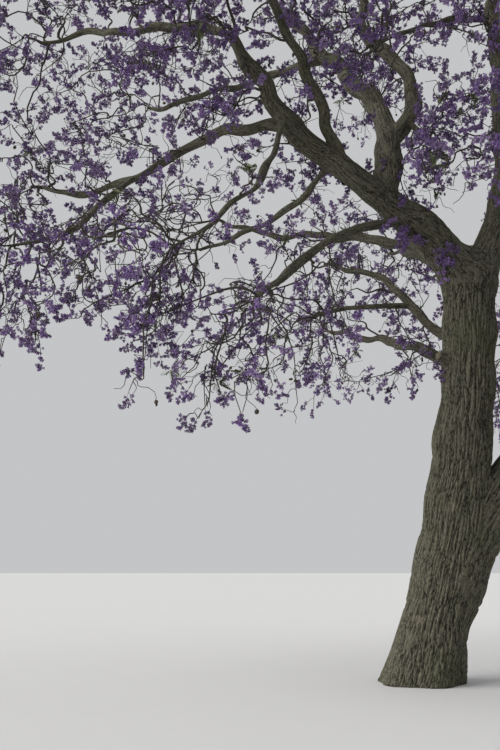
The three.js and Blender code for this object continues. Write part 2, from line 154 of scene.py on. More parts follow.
# The rule carried on: shoots within each spray, each with a panicle of flowers at its end
SHOOT_JOINTS = (0.4, 0.7)
SPRAY_JOINTS = (0.04, 0.14, 0.24, 0.34, 0.44, 0.54, 0.64, 0.74, 0.84)
TUFT_JOINTS = (0.45, 0.7, 0.9)
SPRAY_DEPTH = 0.62  # how thick the space of one spray's shoots is
PANICLE_APART = 0.185
SHOOT_TRIES = 70
BARE_SHOOTS = 4  # in each spray
PODDED_SHARE = 0.6  # of the sprays, those with pods
LEAFY_SHARE = 0.22  # of the sprays, those with a tuft of young leaves
SIDE_SHOOT_STEP = 0.5  # one short shoot for this much of a longer twig
LIMB_SHOOT_STEP = 0.45  # one short shoot for this much of a limb
LIMB_SPRAY_STEP = 0.55  # one spray between the masses for this much of a limb
LIMB_SPRAY_SHARE = 0.6  # panicles in such a spray, as a share of those in a mass's spray
LIMB_SPRAY_FIRST = 0.36  # how far along a limb they begin
LIMB_SHOOT_FIRST = 0.22
LOW_BOUGH_FIRST = 0.5  # both on the low right bough, which is bare where it leaves the trunk

# Radii of twigs and shoots, and how far they stray sideways as a share of their length
STEM_END_RADIUS = 0.019
TWIG_END = 0.0135  # where its spray begins
LIMB_TWIG = 0.02
SHOOT_RADIUS = 0.01
TUFT_SHOOT_RADII = (0.008, 0.004)
BARE_SHOOT_RADII = (0.0075, 0.004)
TWIG_STRAY = 0.07
AXIS_STRAY = 0.085
SHOOT_STRAY = 0.1

# How full the masses are where more sky shows through, as a share of the others
FULLNESS = {
    "hanging_near": 0.35, "hanging_far": 0.25, "crook": 0.3, "side_left": 0.45, "under_left": 0.3,
    "back_left": 0.4, "back_low": 0.35, "back": 0.5, "long_left": 0.8, "low_left": 0.7,
    "back_right_low": 0.8, "cross_left": 0.55, "up_left": 0.7, "up_middle": 0.65, "back_top": 0.55,
    "far_left_top": 0.7, "top_left": 0.9,
}
# Limbs whose sprays stand closer and further out, between masses that lie apart
WIDE_LIMBS = (
    "right_low", "right_front", "right_back", "front_low", "right_upper", "back_right_upper",
    "front_right_upper", "front", "front_left",
)
WIDE_FULLNESS = 1.7
LEAST_OUT = 0.1
MOST_OUT = 0.5
MOST_OUT_WIDE = 1.1
# Sprays that fill the crown's left side and hang from its lower edge: the limb, how full they are,
# and for each how far along the limb it leaves, its heading and climb in degrees, and the length of
# the twig that carries it
PLACED_SPRAYS = (
    ("low_left", 1.3, (
        (1.0, 200, -62, 0.9), (0.7, 300, -60, 0.7), (0.85, 170, -60, 0.8), (1.15, 240, -52, 0.9),
        (0.95, 285, -64, 1.0), (0.8, 255, -68, 0.9), (0.65, 290, -55, 0.8),
    )),
    ("long_left", 0.65, ((1.0, 240, 50, 0.9),)),
    ("top_left", 0.65, ((1.1, 135, -65, 0.9),)),
    ("left_leader", 0.65, ((1.0, 240, -45, 0.3), (0.9, 195, -25, 0.3))),
    ("long_left", 0.65, ((0.4, 285, 0, 0.3),)),
    ("hanging_near", 1.3, (
        (0.95, 135, -60, 0.3), (1.1, 190, -60, 0.1), (1.2, 115, -60, 0.3), (1.05, 150, -50, 0.4),
        (1.1, 120, -66, 0.2),
    )),
    ("crook", 0.65, (
        (1.15, 210, -45, 0.1), (1.0, 165, -60, 0.2), (1.25, 125, -60, 0.1), (1.1, 100, -75, 0.2),
        (0.95, 60, -45, 0.2),
    )),
    ("under_left", 0.65, ((1.2, 265, -75, 0.1), (1.0, 270, -75, 0.1), (0.2, 300, -60, 0.1))),
    ("side_left", 0.65, ((0.3, 240, -60, 0.1),)),
    ("back_low", 0.65, ((0.3, 195, -30, 0.1), (0.4, 240, -45, 0.1))),
)
# Two tufts of blossom that sit right on the left leader by the main fork: how far along it they
# are, and the heading and climb of their shoots, which fan out by the turns, in degrees
FORK_TUFTS = ((0.11, 255, -25), (0.27, 252, -60))
TUFT_TURNS = (-25, 0, 25)
TUFT_LENGTH = 0.1
# Old branch scars on the trunk: the height, heading, width and depth
TRUNK_KNOTS = (
    (2.5, 250, 0.13, 0.018), (3.6, 285, 0.09, 0.02), (1.7, 60, 0.15, 0.04), (5.2, 330, 0.1, 0.03),
    (0.9, 230, 0.12, 0.02),
)
# Sawn-off boughs, each with the sizes of a bough
STUBS = {
    "stub_left": ("trunk", 0.765, 198, 0.54, 0.2, 0.02, 0, 0, 0, 0.085, 0.062, 0),
    "stub_back": ("trunk", 0.55, 75, 0.57, 0.22, 0, 0, 0, 0, 0.09, 0.07, 0),
}

# The limbs' skin, and the rounded crotches where limbs meet
LEAST_AROUND = 12
FACE_STRETCH = 1.8  # how much longer than wide its faces are
SLIM_START = 0.6  # of a bough inside the limb that carries it
JOIN_REACH = 2.4  # in thicknesses of both limbs
CROTCH_SOFTNESS = 0.55  # as a share of the thinner limb
FORK_SOFTNESS = 0.95
SMOOTH_ROUNDS = 4
KEPT_DEPTH = 0.03  # skin deeper than this inside another limb stays where it is

# The bark's relief
RIDGE_SHARE = 0.36  # how far from a furrow a plate of bark reaches its full height
MIDDLE_HEIGHT = 0.6  # the height of bark that lies on the limb's own radius
LEAST_RELIEF = 0.16  # on thin limbs, as a share of the trunk's
OLD_RADIUS = 0.3  # from which on a limb's bark looks as old as the trunk's
SWELL = 0.05

# Seeds of the random draws
DRIFT_SEED = 11
CROWN_SEED = 29
BARK_SEED = 5
BELL_SEED = 47
STALK_SEED = 53
FRUIT_SEED = 61

# Waves that shift the limbs and twigs a little and smoothly: their lengths and sizes
DRIFT_LENGTHS = (2.3, 1.7, 1.2, 0.9, 0.7, 0.55, 0.42)
DRIFT_SIZES = (0.035, 0.045, 0.05, 0.045, 0.032, 0.021, 0.012)

# A panicle: a stalk with side stalks, bells along those and more bells at its end
SIDE_STALKS = 4
SIDE_BELLS = 5
END_BELLS = 4
STALK_RADIUS = 0.0032
SIDE_STALK_RADIUS = 0.0022
STALK_TURN = 2.4  # from one side stalk to the next
# The deep tint is a darker violet that stands partly for painted shade on shadowed sprays and partly for
# panicles in full colour
TINTS = ("deep", "violet", "dusky", "lilac", "pale")
TINT_STEPS = (0.2, 0.45, 0.69, 0.88)  # shares of the panicles at which one tint passes to the next

FLOOR_SIZE = 400
FLOOR_DROP = 0.002  # keeps the floor's face just under the roots' flat cut
LIGHT_WIDTH = math.radians(55)
LIGHT_COLOUR = (1, 0.995, 0.98)
KEY_PLACE = (-16, -5, 9)
FILL_PLACE = (10, 8, 18)


def unit(v):
    return v / np.linalg.norm(v, axis=-1, keepdims=True)


def mix(a, b, share):
    return a + (b - a) * share


def hump(t):
    return 4 * t * (1 - t)


def swing(t):
    return np.sin(2 * np.pi * t)


def heading_of(degrees, climb=0.0):
    turn, rise = math.radians(degrees), math.radians(climb)
    return np.array([math.cos(turn) * math.cos(rise), math.sin(turn) * math.cos(rise), math.sin(rise)])


def offsets(points, starts, ends):
    """The way to each point from the nearest place on each straight stretch, and that place's share."""
    run = ends - starts
    away = points[:, None] - starts
    share = np.clip((away * run).sum(-1) / (run * run).sum(-1), 0, 1)
    return away - share[..., None] * run, share


class Limb:
    """The trunk or a bough by its middle line and its radius. t is 0 at its start and 1 at its tip."""

    level = False

    def tangent(self, t):
        step = 0.0001
        t = np.clip(t, 0, 1)
        return unit(self.point(np.minimum(t + step, 1)) - self.point(np.maximum(t - step, 0)))

    def measure(self):
        points = self.point(np.linspace(0, 1, 201))
        return np.linalg.norm(np.diff(points, axis=0), axis=1).sum()

    def reach(self, t):
        """A point of the middle line, which past the tip runs on straight along the mass's stem."""
        past = np.maximum(np.asarray(t, float) - 1, 0)[..., None]
        return self.point(np.minimum(t, 1)) + past * self.length * self.out

    def surface(self, points, low, high, samples=32):
        """How far points lie outside a stretch of the limb's skin, and the way out from its middle."""
        t = np.linspace(max(low, 0), min(high, self.end), samples)
        line, thick = self.reach(t), self.skin_radius(t)
        away, share = offsets(points, line[:-1], line[1:])
        middle = np.linalg.norm(away, axis=-1)
        far = middle - (thick[:-1] + share * np.diff(thick))
        best = (np.arange(len(points)), np.argmin(far, axis=1))
        return far[best], away[best] / np.maximum(middle[best], 1e-6)[:, None]


class Trunk(Limb):
    """The trunk: it leans and bows a little, and flares into lobes at its roots."""

    name, parent, level, length = "trunk", None, True, TRUNK_RISE
    end = 1 + 0.98 * TRUNK_FORK_RADIUS / TRUNK_RISE
    side = np.array([1.0, 0, 0])
    out = np.array([0, 0, 1.0])
    thick = TRUNK_FOOT_RADIUS

    def point(self, t):
        t = np.asarray(t, float)
        return np.stack([TRUNK_LEAN * t + TRUNK_BOW * hump(t), 0 * t, TRUNK_RISE * t], -1)

    def radius(self, t, angle=0.0):
        height = TRUNK_RISE * np.asarray(t, float)
        flare = ROOT_FLARE * np.exp(-height / FLARE_HEIGHT)
        lobes = LOBE_DEPTH * np.exp(-height / LOBE_HEIGHT) * np.cos(ROOT_LOBES * angle)
        return mix(TRUNK_FOOT_RADIUS, TRUNK_FORK_RADIUS, t) * (1 + flare + lobes)

    def skin_radius(self, t, angle=0.0):
        """As radius, and rounded off above the main fork, inside the boughs that start there."""
        above = np.maximum(np.asarray(t, float) - 1, 0) * self.length / TRUNK_FORK_RADIUS
        return self.radius(np.minimum(t, 1), angle) * np.sqrt(1 - above * above)


class Bough(Limb):
    """A bough: a straight run to its tip, bent by its arch, wave, sway and curl."""

    def __init__(self, name, row, limbs):
        size = dict(zip(BOUGH_SIZES, row))
        self.name, self.parent, self.size = name, limbs[size["on"]], size
        self.thick, self.thin, self.spread = size["thick"], size["thin"], size["spread"]
        turn, climb = math.radians(size["heading"]), math.atan2(size["rise"], size["reach"])
        ahead = np.array([math.cos(turn), math.sin(turn), 0])
        self.start = self.parent.point(size["at"])
        self.hidden = 1.2 * float(self.parent.radius(size["at"]))
        self.run = ahead * size["reach"] + (0, 0, size["rise"])
        self.side = np.array([-math.sin(turn), math.cos(turn), 0])
        self.lift = -math.sin(climb) * ahead + (0, 0, math.cos(climb))
        self.length = self.measure()
        self.tip, self.out = self.point(1.0), self.tangent(1.0)
        away = unit(self.tip - CROWN_HEART)
        aim = unit(TIP_SHARE * self.out + (1 - TIP_SHARE) * away)
        self.centre = self.tip + aim * CENTRE_SHARE * self.spread
        self.end = 1 + STEM_SHARE * self.spread / self.length

    def point(self, t):
        t = np.asarray(t, float)[..., None]
        size = self.size
        lift = size["arch"] * hump(t) + size["wave"] * swing(t)
        sway = size["sway"] * hump(t) + size["curl"] * swing(t)
        return self.start + t * self.run + lift * self.lift + sway * self.side

    def radius(self, t, angle=0.0):
        t = np.asarray(t, float)
        collar = COLLAR_SWELL * np.exp(-np.minimum(t, 1) * self.length / (COLLAR_LENGTH * self.thick))
        past = np.clip((t - 1) / (self.end - 1), 0, 1) ** 0.8
        return mix(mix(self.thick, self.thin, np.minimum(t, 1)) * (1 + collar), STEM_END_RADIUS, past)

    def skin_radius(self, t, angle=0.0):
        """As radius, but slimmer inside a limb that runs on past the bough, to stay hidden in it."""
        if self.size["at"] == 1:
            return self.radius(t)
        outward = np.clip(t * self.length / self.hidden, 0, 1)
        return self.radius(t) * mix(SLIM_START, 1, outward * outward * (3 - 2 * outward))


class Stub(Bough):
    """What is left of a sawn-off bough, with a flat end."""

    def __init__(self, name, row, limbs):
        super().__init__(name, row, limbs)
        self.end = 1.0

    def radius(self, t, angle=0.0):
        t = np.asarray(t, float)
        out = np.maximum(t * self.length - 0.75 * self.hidden, 0)
        return mix(self.thick, self.thin, t) * (1 + 2 * COLLAR_SWELL * np.exp(-out / self.thick))


@functools.lru_cache(maxsize=1)
def lay_out_limbs():
    """The trunk and every bough by name, parents before children."""
    limbs = {"trunk": Trunk()}
    for name, row in BOUGHS.items():
        limbs[name] = Bough(name, row, limbs)
    return limbs


def seeded(seed):
    """Numbers from 0 to 1, the same row for the same seed."""
    while True:
        seed = (seed * 1664525 + 1013904223) % 4294967296
        yield seed / 4294967296


def random_direction(numbers):
    height = 2 * next(numbers) - 1
    turn = 2 * math.pi * next(numbers)
    level = math.sqrt(1 - height * height)
    return np.array([level * math.cos(turn), level * math.sin(turn), height])


def distances(points, starts, ends):
    """The distance from each point to each straight stretch."""
    return np.linalg.norm(offsets(points, starts, ends)[0], axis=-1)


class Space:
    """The space of one mass: a ball, cut off half way to its neighbours and clear of the limbs."""

    def __init__(self, bough, boughs, stretches):
        self.centre, self.spread, self.stretches = bough.centre, bough.spread, stretches
        others = np.array([other.centre for other in boughs if other is not bough])
        self.between = unit(others - bough.centre)
        self.middle = (others + bough.centre) / 2

    def holds(self, points):
        if (np.linalg.norm(points - self.centre, axis=1) > self.spread - CELL_MARGIN).any():
            return False
        return bool((((points[:, None] - self.middle) * self.between).sum(-1) < -CELL_MARGIN).all())

    def clear(self, points, half_width):
        starts, ends, radii = self.stretches
        least = radii + np.broadcast_to(half_width, len(points))[:, None] + LIMB_MARGIN
        return bool((distances(points, starts, ends) > least).all())


def limb_stretches(limbs):
    """The limbs' middle lines as short straight stretches, with their radii."""
    starts, ends, radii = [], [], []
    for limb in limbs:
        count = math.ceil(limb.length / BOUGH_STEP)
        t = np.arange(count + 1) / count
        line = limb.point(t)
        starts.append(line[:-1])
        ends.append(line[1:])
        radii.append(limb.radius(t[:-1]))
    return np.concatenate(starts), np.concatenate(ends), np.concatenate(radii)


class Spray:
    """The flat space of one spray by its root, its direction and its width's direction."""

    def __init__(self, root, aim, across):
        self.root, self.aim, self.across, self.over = root, aim, across, np.cross(across, aim)
        self.tip = self.at(1)
        self.core = np.array([self.at(0.25), self.at(0.75)])
        wide = across * SPRAY_WIDTH / 2
        self.corners = np.array([root, self.tip, self.at(0.5) + wide, self.at(0.5) - wide])

    def at(self, share, wide=0.0, deep=0.0):
        return self.root + self.aim * share * SPRAY_LENGTH + self.across * wide + self.over * deep


def between(start, end, count):
    return start + np.linspace(0, 1, count + 1)[:, None] * (end - start)


def near_sprays(points, sprays, least):
    """Whether any of the points lies too near to the middle of a spray."""
    cores = np.array([spray.core for spray in sprays]).reshape(-1, 2, 3)
    return (distances(points, cores[:, 0], cores[:, 1]) <= least).any()


def spray_fits(spray, sprays, twigs, space):
    checks = 6
    axis = between(spray.root, spray.tip, checks)
    if not space.holds(spray.corners) or near_sprays(axis, sprays, SPRAY_APART):
        return False
    grown = np.concatenate([between(start, end, checks) for start, end in twigs])
    if near_sprays(grown, [spray], TWIG_APART):
        return False
    half_width = SPRAY_WIDTH / 2 * (1 - abs(2 * np.arange(checks + 1) / checks - 1))
    return space.clear(axis, half_width)


def twig_fits(start, end, sprays, space):
    points = between(start, end, 8)
    apart = not near_sprays(points, sprays, TWIG_APART)
    return apart and space.holds(points) and space.clear(points, STEM_RADIUS)


def next_spray(numbers, bough, stem_end):
    distance = bough.spread * np.cbrt(mix(INNER_SHARE, 1, next(numbers)))
    tip = bough.centre + random_direction(numbers) * distance
    jitter = SPRAY_JITTER * random_direction(numbers)
    aim = unit(unit(tip - stem_end) + jitter - (0, 0, SPRAY_DROOP))
    across = unit(np.cross(random_direction(numbers), aim))
    return Spray(tip - aim * SPRAY_LENGTH, aim, across)


def joints_along(start, end, shares, run, carrier, radius=None):
    """The places on a twig where others may leave it. Each then carries one twig."""
    length = np.linalg.norm(end - start)
    return [
        {"point": mix(start, end, share), "run": run + share * length, "radius": radius,
         "carrier": carrier, "share": share}
        for share in shares
    ]


def best_joint(joints, root, aim):
    """The joint with the shortest way to a root, of those that a twig can leave forwards."""
    if not joints:
        return None
    points = np.array([joint["point"] for joint in joints])
    runs = np.array([joint["run"] for joint in joints])
    far = np.linalg.norm(root - points, axis=1)
    aligned = ((root - points) @ aim) > LEAST_ALIGNED * far
    way = np.where(aligned, far + RUN_COST * runs, np.inf)
    best = int(np.argmin(way))
    return joints[best] if np.isfinite(way[best]) else None


def grow_mass(bough, space, seed):
    """The sprays of one mass, each with its twig's joint, by the rule that the solids follow."""
    numbers = seeded(seed)
    start = bough.tip + bough.out * JOINT_GAP
    stem_end = start + bough.out * STEM_SHARE * bough.spread
    twigs, sprays, grown = [(start, stem_end)], [], []
    joints = joints_along(start, stem_end, STEM_JOINTS, 0, None, min(STEM_RADIUS, bough.thin))
    wanted = round(SPRAYS_PER_AREA * bough.spread**2)
    for _ in range(MOST_TRIES):
        if len(sprays) >= wanted:
            break
        spray = next_spray(numbers, bough, stem_end)
        joint = best_joint(joints, spray.root, spray.aim)
        if joint is None or not spray_fits(spray, sprays, twigs, space):
            continue
        if not twig_fits(joint["point"], spray.root, sprays, space):
            continue
        thick = max(TWIG_RADIUS, TWIG_TAPER * joint["radius"])
        joints = [other for other in joints if other is not joint]
        joints += joints_along(joint["point"], spray.root, TWIG_JOINTS, joint["run"], len(sprays), thick)
        twigs.append((joint["point"], spray.root))
        sprays.append(spray)
        grown.append((spray, joint))
    return grown


def bent(points, bends, t):
    """Points along bent lines from their four guide points and three sideways bends."""
    t = np.asarray(t, float)[:, None]
    weights = ((1 - t) ** 3, 3 * t * (1 - t) ** 2, 3 * t * t * (1 - t), t**3)
    line = sum(points[:, i, None] * weight for i, weight in enumerate(weights))
    return line + sum(bends[:, i, None] * np.sin(turns * np.pi * t) for i, turns in enumerate((2, 3, 4)))


class Shoot:
    """A twig that leaves a point in one direction, arrives at another and thins on the way."""

    def __init__(self, start, away, end, arrive, thick, thin, dice, stray):
        far = np.linalg.norm(end - start)
        self.points = np.array([start, start + away * far * 0.35, end - arrive * far * 0.35, end])
        self.bends = dice.normal(size=(3, 3)) * stray * far * ((1,), (0.6,), (0.25,))
        self.thick, self.thin = thick, thin

    def at(self, t):
        return bent(self.points[None], self.bends[None], [t])[0, 0]

    def direction(self, t):
        near = [max(t - 0.02, 0), min(t + 0.02, 1)]
        before, after = bent(self.points[None], self.bends[None], near)[0]
        return unit(after - before)

    def radius(self, t):
        return mix(self.thick, self.thin, t)


def tubes(shoots, rings, sides):
    """The joined mesh of closed tapering tubes along shoots, as points and triangles."""
    t = np.linspace(0, 1, rings)
    line = bent(np.array([s.points for s in shoots]), np.array([s.bends for s in shoots]), t)
    along = unit(np.gradient(line, axis=1))
    chord = unit(line[:, -1] - line[:, 0])
    upright = np.where(abs(chord[:, 2:]) < 0.8, (0, 0, 1.0), (1.0, 0, 0))
    side = np.cross(chord, upright)[:, None]
    across = unit(side - (side * along).sum(-1, keepdims=True) * along)
    over = np.cross(along, across)
    thick, thin = (np.array([getattr(s, end) for s in shoots])[:, None] for end in ("thick", "thin"))
    radius = mix(thick, thin, t)[..., None, None]
    turn = (2 * np.pi * np.arange(sides) / sides)[:, None]
    round_it = np.cos(turn) * across[:, :, None] + np.sin(turn) * over[:, :, None]
    skin = line[:, :, None] + radius * round_it
    tip = line[:, -1] + along[:, -1] * thin * 1.5
    points = np.concatenate([skin.reshape(len(shoots), -1, 3), tip[:, None]], axis=1)
    ring, j = np.meshgrid(np.arange(rings - 1) * sides, np.arange(sides), indexing="ij")
    a, b = (ring + j).ravel(), (ring + (j + 1) % sides).ravel()
    last = (rings - 1) * sides
    fan = [(last + k, last + (k + 1) % sides, rings * sides) for k in range(sides)]
    cap = [(0, k + 1, k) for k in range(1, sides - 1)]
    lower, upper = np.stack([a, b, b + sides], 1), np.stack([a, b + sides, a + sides], 1)
    one = np.concatenate([lower, upper, fan, cap])
    return points.reshape(-1, 3), repeated(one, len(shoots), points.shape[1])


def repeated(triangles, count, stride):
    return (triangles + (np.arange(count) * stride)[:, None, None]).reshape(-1, 3)


def frames_for(aim, dice):
    """A turned frame for each direction, with the direction as its third axis."""
    side = unit(np.cross(aim, dice.normal(size=aim.shape)))
    return np.stack([side, np.cross(aim, side), aim], -2)


def scattered(shape, places, frames, sizes):
    """The joined mesh of one small shape at many places."""
    points, triangles = shape
    turned = np.einsum("pk,nkc->npc", points, frames) * np.asarray(sizes)[:, None, None]
    return (places[:, None] + turned).reshape(-1, 3), repeated(triangles, len(places), len(points))


def joined(parts):
    """Several joined meshes as one."""
    starts = np.cumsum([0] + [len(points) for points, _ in parts])
    return (
        np.concatenate([points for points, _ in parts]),
        np.concatenate([triangles + start for (_, triangles), start in zip(parts, starts)]),
    )


@functools.lru_cache(maxsize=1)
def drift_waves():
    dice = np.random.RandomState(DRIFT_SEED)
    count = len(DRIFT_LENGTHS)
    waves = unit(dice.normal(size=(count, 3))) * (2 * np.pi / np.array(DRIFT_LENGTHS))[:, None]
    shifts = unit(dice.normal(size=(count, 3))) * np.array(DRIFT_SIZES)[:, None]
    return list(zip(waves, shifts, dice.uniform(0, 6, count)))


def drifted(points):
    """Points shifted by the waves, least low on the trunk and near the main fork."""
    far = np.linalg.norm(points - MAIN_FORK, axis=-1, keepdims=True)
    share = mix(0.25, 1, np.clip(far / 3 - 0.2, 0, 1)) * np.clip(points[..., 2:] / 3 - 0.8, 0.05, 1)
    shift = sum(np.sin(points @ wave + phase)[..., None] * way for wave, way, phase in drift_waves())
    return points + share * shift


class Crown:
    """Everything that grows from the limbs: twigs, shoots, panicles, leaf tufts and pods."""

    def __init__(self, panicles, panicle_length, twig_tip):
        self.branches, self.axes, self.shoots, self.hanging = [], [], [], []
        self.panicles, self.tufts, self.pods = [], [], []
        self.count, self.limb_count = panicles, round(LIMB_SPRAY_SHARE * panicles)
        self.length, self.twig_tip = panicle_length, twig_tip
        self.dice = np.random.RandomState(CROWN_SEED)

    def grow(self, kind, start, away, end, arrive, thick, thin, stray):
        kind.append(Shoot(start, away, end, arrive, thick, thin, self.dice, stray))
        return kind[-1]

    def fill_mass(self, bough, grown):
        """Bends the rule's twigs, from a bough's stem out through each spray."""
        carriers = []
        full = FULLNESS.get(bough.name, 1)
        for spray, joint in grown:
            if joint["carrier"] is None:
                t = mix(1, bough.end, joint["share"])
                start, away, local = bough.reach(t), bough.out, float(bough.radius(t))
            else:
                carrier, share = carriers[joint["carrier"]], joint["share"]
                start, away, local = carrier.at(share), carrier.direction(share), carrier.radius(share)
            away = unit(0.55 * away + unit(spray.root - start))
            thick = min(0.85 * local, max(1.1 * TWIG_END, 0.66 * local))
            ends = (start, away, spray.root, spray.aim)
            branch = self.grow(self.branches, *ends, thick, TWIG_END, TWIG_STRAY)
            carriers.append(branch)
            self.add_side_shoots(branch, full)
            self.fill_spray(spray, round(full * self.count))

    def fill_spray(self, spray, count):
        """Carries the rule on: shoots that leave the spray's axis, each with a panicle."""
        dice = self.dice
        bend = spray.at(0.9, dice.normal() * 0.05, dice.normal() * 0.05) - (0, 0, 0.05)
        ends = (spray.root, spray.aim, bend, spray.aim)
        axis = self.grow(self.axes, *ends, TWIG_END, self.twig_tip, AXIS_STRAY)
        joints = joints_along(spray.root, bend, SPRAY_JOINTS, 0, axis)
        roots = [bend]
        self.add_panicle(bend, axis.direction(1))
        tint = dice.uniform()
        for _ in range(SHOOT_TRIES):
            if len(roots) >= count:
                break
            along, wide, deep = dice.uniform(0.06, 0.9), dice.uniform(-1, 1), dice.uniform(-0.5, 0.5)
            room = 0.35 + 0.65 * (1 - abs(2 * along - 1))
            root = spray.at(along, wide * room * SPRAY_WIDTH / 2, deep * room * SPRAY_DEPTH)
            if np.linalg.norm(np.array(roots) - root, axis=1).min() < PANICLE_APART:
                continue
            outward = unit(root - spray.at(max(along - 0.3, 0)))
            aim = unit(0.8 * outward + 0.35 * dice.normal(size=3) + (0, 0, -0.1))
            joint = best_joint(joints, root, outward)
            if joint is None:
                continue
            joints = [other for other in joints if other is not joint]
            joints += self.add_shoot(joint, root, aim)
            roots.append(root)
            self.add_panicle(root, aim, tint)
        self.add_bare_shoots(axis)

    def add_shoot(self, joint, root, aim):
        """A shoot from a joint to a panicle's root, and the joints that it carries itself."""
        carrier, share = joint["carrier"], joint["share"]
        start, thick = carrier.at(share), min(SHOOT_RADIUS, 0.85 * carrier.radius(share))
        away = unit(0.5 * carrier.direction(share) + unit(root - start))
        shoot = self.grow(self.shoots, start, away, root, aim, thick, self.twig_tip, SHOOT_STRAY)
        return joints_along(start, root, SHOOT_JOINTS, joint["run"], shoot)

    def add_side_shoots(self, branch, full=1.0):
        """Short shoots along a longer twig, with a panicle each."""
        dice = self.dice
        count = round(full * np.linalg.norm(branch.points[3] - branch.points[0]) / SIDE_SHOOT_STEP)
        for k in range(count):
            share = mix(0.15, 1, (k + dice.uniform()) / count)
            start, along = branch.at(share), branch.direction(share)
            aim = unit(along * dice.uniform(0, 0.8) + unit(np.cross(dice.normal(size=3), along)))
            root = start + aim * dice.uniform(0.08, 0.3)
            self.add_shoot({"carrier": branch, "share": share, "run": 0}, root, aim)
            self.add_panicle(root, aim, dice.uniform())

    def add_panicle(self, root, aim, tint=0.5):
        """A panicle whose tint keeps close to its spray's."""
        dice = self.dice
        tint = np.clip(0.6 * tint + 0.4 * dice.uniform() + 0.05 * dice.normal(), 0, 0.999)
        self.panicles.append((root, aim, self.length * dice.uniform(0.72, 1.15), tint))

    def add_bare_shoots(self, axis):
        """Bare crooked shoots, some with pods, and a tuft of young leaves on a few sprays."""
        dice = self.dice
        for k in range(BARE_SHOOTS):
            share = dice.uniform(0.05, 0.95)
            start, along = axis.at(share), axis.direction(share)
            away = unit(dice.normal(size=3) * (1, 1, 0.7) + 0.5 * along)
            droop = dice.uniform(0, 0.9)
            end = start + unit(away - (0, 0, droop)) * dice.uniform(0.18, 0.5)
            arrive = unit(away - (0, 0, 2 * droop))
            self.grow(self.hanging, start, away, end, arrive, *BARE_SHOOT_RADII, SHOOT_STRAY)
            if k == 0 and dice.uniform() < PODDED_SHARE:
                self.pods += [end + dice.normal(size=3) * 0.012 for _ in range(dice.randint(1, 3))]
        if dice.uniform() < LEAFY_SHARE:
            share = dice.uniform(0.3, 0.95)
            self.tufts.append((axis.at(share), axis.direction(share)))

    def sideways(self, along, lift):
        """A direction square to a limb's own, more often up than down."""
        way = self.dice.normal(size=3) + (0, 0, lift)
        return unit(way - (way @ along) * along)

    def add_limb_sprays(self, limb, first):
        """Smaller sprays that stand on a limb and close the crown between the masses."""
        dice = self.dice
        wide = limb.name in WIDE_LIMBS
        most_out = MOST_OUT_WIDE if wide else MOST_OUT
        full = FULLNESS.get(limb.name, 1) ** 0.5
        step = LIMB_SPRAY_STEP / FULLNESS.get(limb.name, WIDE_FULLNESS if wide else 1) / limb.length
        for k in range(round((1 - first) / step)):
            t = first + (k + dice.uniform()) * step
            along = limb.tangent(t)
            aim = unit(self.sideways(along, 0.45) + dice.uniform(0.2, 0.9) * along)
            self.add_limb_spray(limb, t, aim, dice.uniform(LEAST_OUT, most_out), full)

    def add_limb_spray(self, limb, t, aim, distance, full):
        """One such spray, at the end of a twig of its own."""
        start, radius = limb.reach(t), float(limb.radius(t))
        root = start + aim * (radius + distance)
        aim = unit(aim - (0, 0, 0.3 * distance))
        thick = min(0.6 * radius, LIMB_TWIG)
        branch = self.grow(self.branches, start, aim, root, aim, thick, TWIG_END, TWIG_STRAY)
        self.add_side_shoots(branch)
        spray = Spray(root, aim, unit(np.cross(self.dice.normal(size=3), aim)))
        self.fill_spray(spray, round(full * self.limb_count))

    def add_limb_shoots(self, limb, first):
        """Short shoots that stand on a limb, with one to three panicles each."""
        dice = self.dice
        step = LIMB_SHOOT_STEP / FULLNESS.get(limb.name, 1) / limb.length
        for k in range(round((1 - first) / step)):
            t = min(1, first + (k + dice.uniform()) * step)
            along = limb.tangent(t)
            away = unit(self.sideways(along, 0.5) + dice.uniform(0, 0.8) * along)
            self.add_tuft_shoot(limb, t, away, dice.uniform(0.18, 0.8))

    def add_tuft_shoot(self, limb, t, away, length):
        """One such shoot, which starts a little under the limb's skin."""
        dice = self.dice
        middle, radius = limb.point(t), float(limb.radius(t))
        start = middle + away * 0.7 * radius
        end = middle + away * (radius + length) + dice.normal(size=3) * 0.12 * length
        arrive = unit(away + 0.5 * dice.normal(size=3))
        shoot = self.grow(self.axes, start, away, end, arrive, *TUFT_SHOOT_RADII, TWIG_STRAY)
        self.add_panicle(end, shoot.direction(1), dice.uniform())
        joints = joints_along(start, end, TUFT_JOINTS, 0, shoot)
        for joint in joints[: dice.randint(1, len(TUFT_JOINTS) + 1)]:
            aim = unit(away + 0.9 * dice.normal(size=3))
            root = joint["point"] + aim * dice.uniform(0.08, 0.25)
            self.add_shoot(joint, root, aim)
            self.add_panicle(root, aim, dice.uniform())


@functools.lru_cache(maxsize=1)
def grow_crown(panicles, panicle_length, twig_tip):
    """All that grows, mass by mass, with the placed sprays and the tufts by the main fork last."""
    limbs = lay_out_limbs()
    boughs = [limb for limb in limbs.values() if limb.name != "trunk"]
    stretches = limb_stretches(limbs.values())
    crown = Crown(panicles, panicle_length, twig_tip)
    for i, bough in enumerate(boughs):
        low = bough.name == "right_low"
        space = Space(bough, boughs, stretches)
        crown.fill_mass(bough, grow_mass(bough, space, FIRST_SEED + SEED_STEP * i))
        crown.add_limb_sprays(bough, LOW_BOUGH_FIRST if low else LIMB_SPRAY_FIRST)
        crown.add_limb_shoots(bough, LOW_BOUGH_FIRST if low else LIMB_SHOOT_FIRST)
    for name, full, sprays in PLACED_SPRAYS:
        for t, heading, climb, distance in sprays:
            crown.add_limb_spray(limbs[name], t, heading_of(heading, climb), distance, full)
    for t, heading, climb in FORK_TUFTS:
        for turn in TUFT_TURNS:
            away = heading_of(heading + turn, climb)
            crown.add_tuft_shoot(limbs["left_leader"], t, away, TUFT_LENGTH)
    return crown


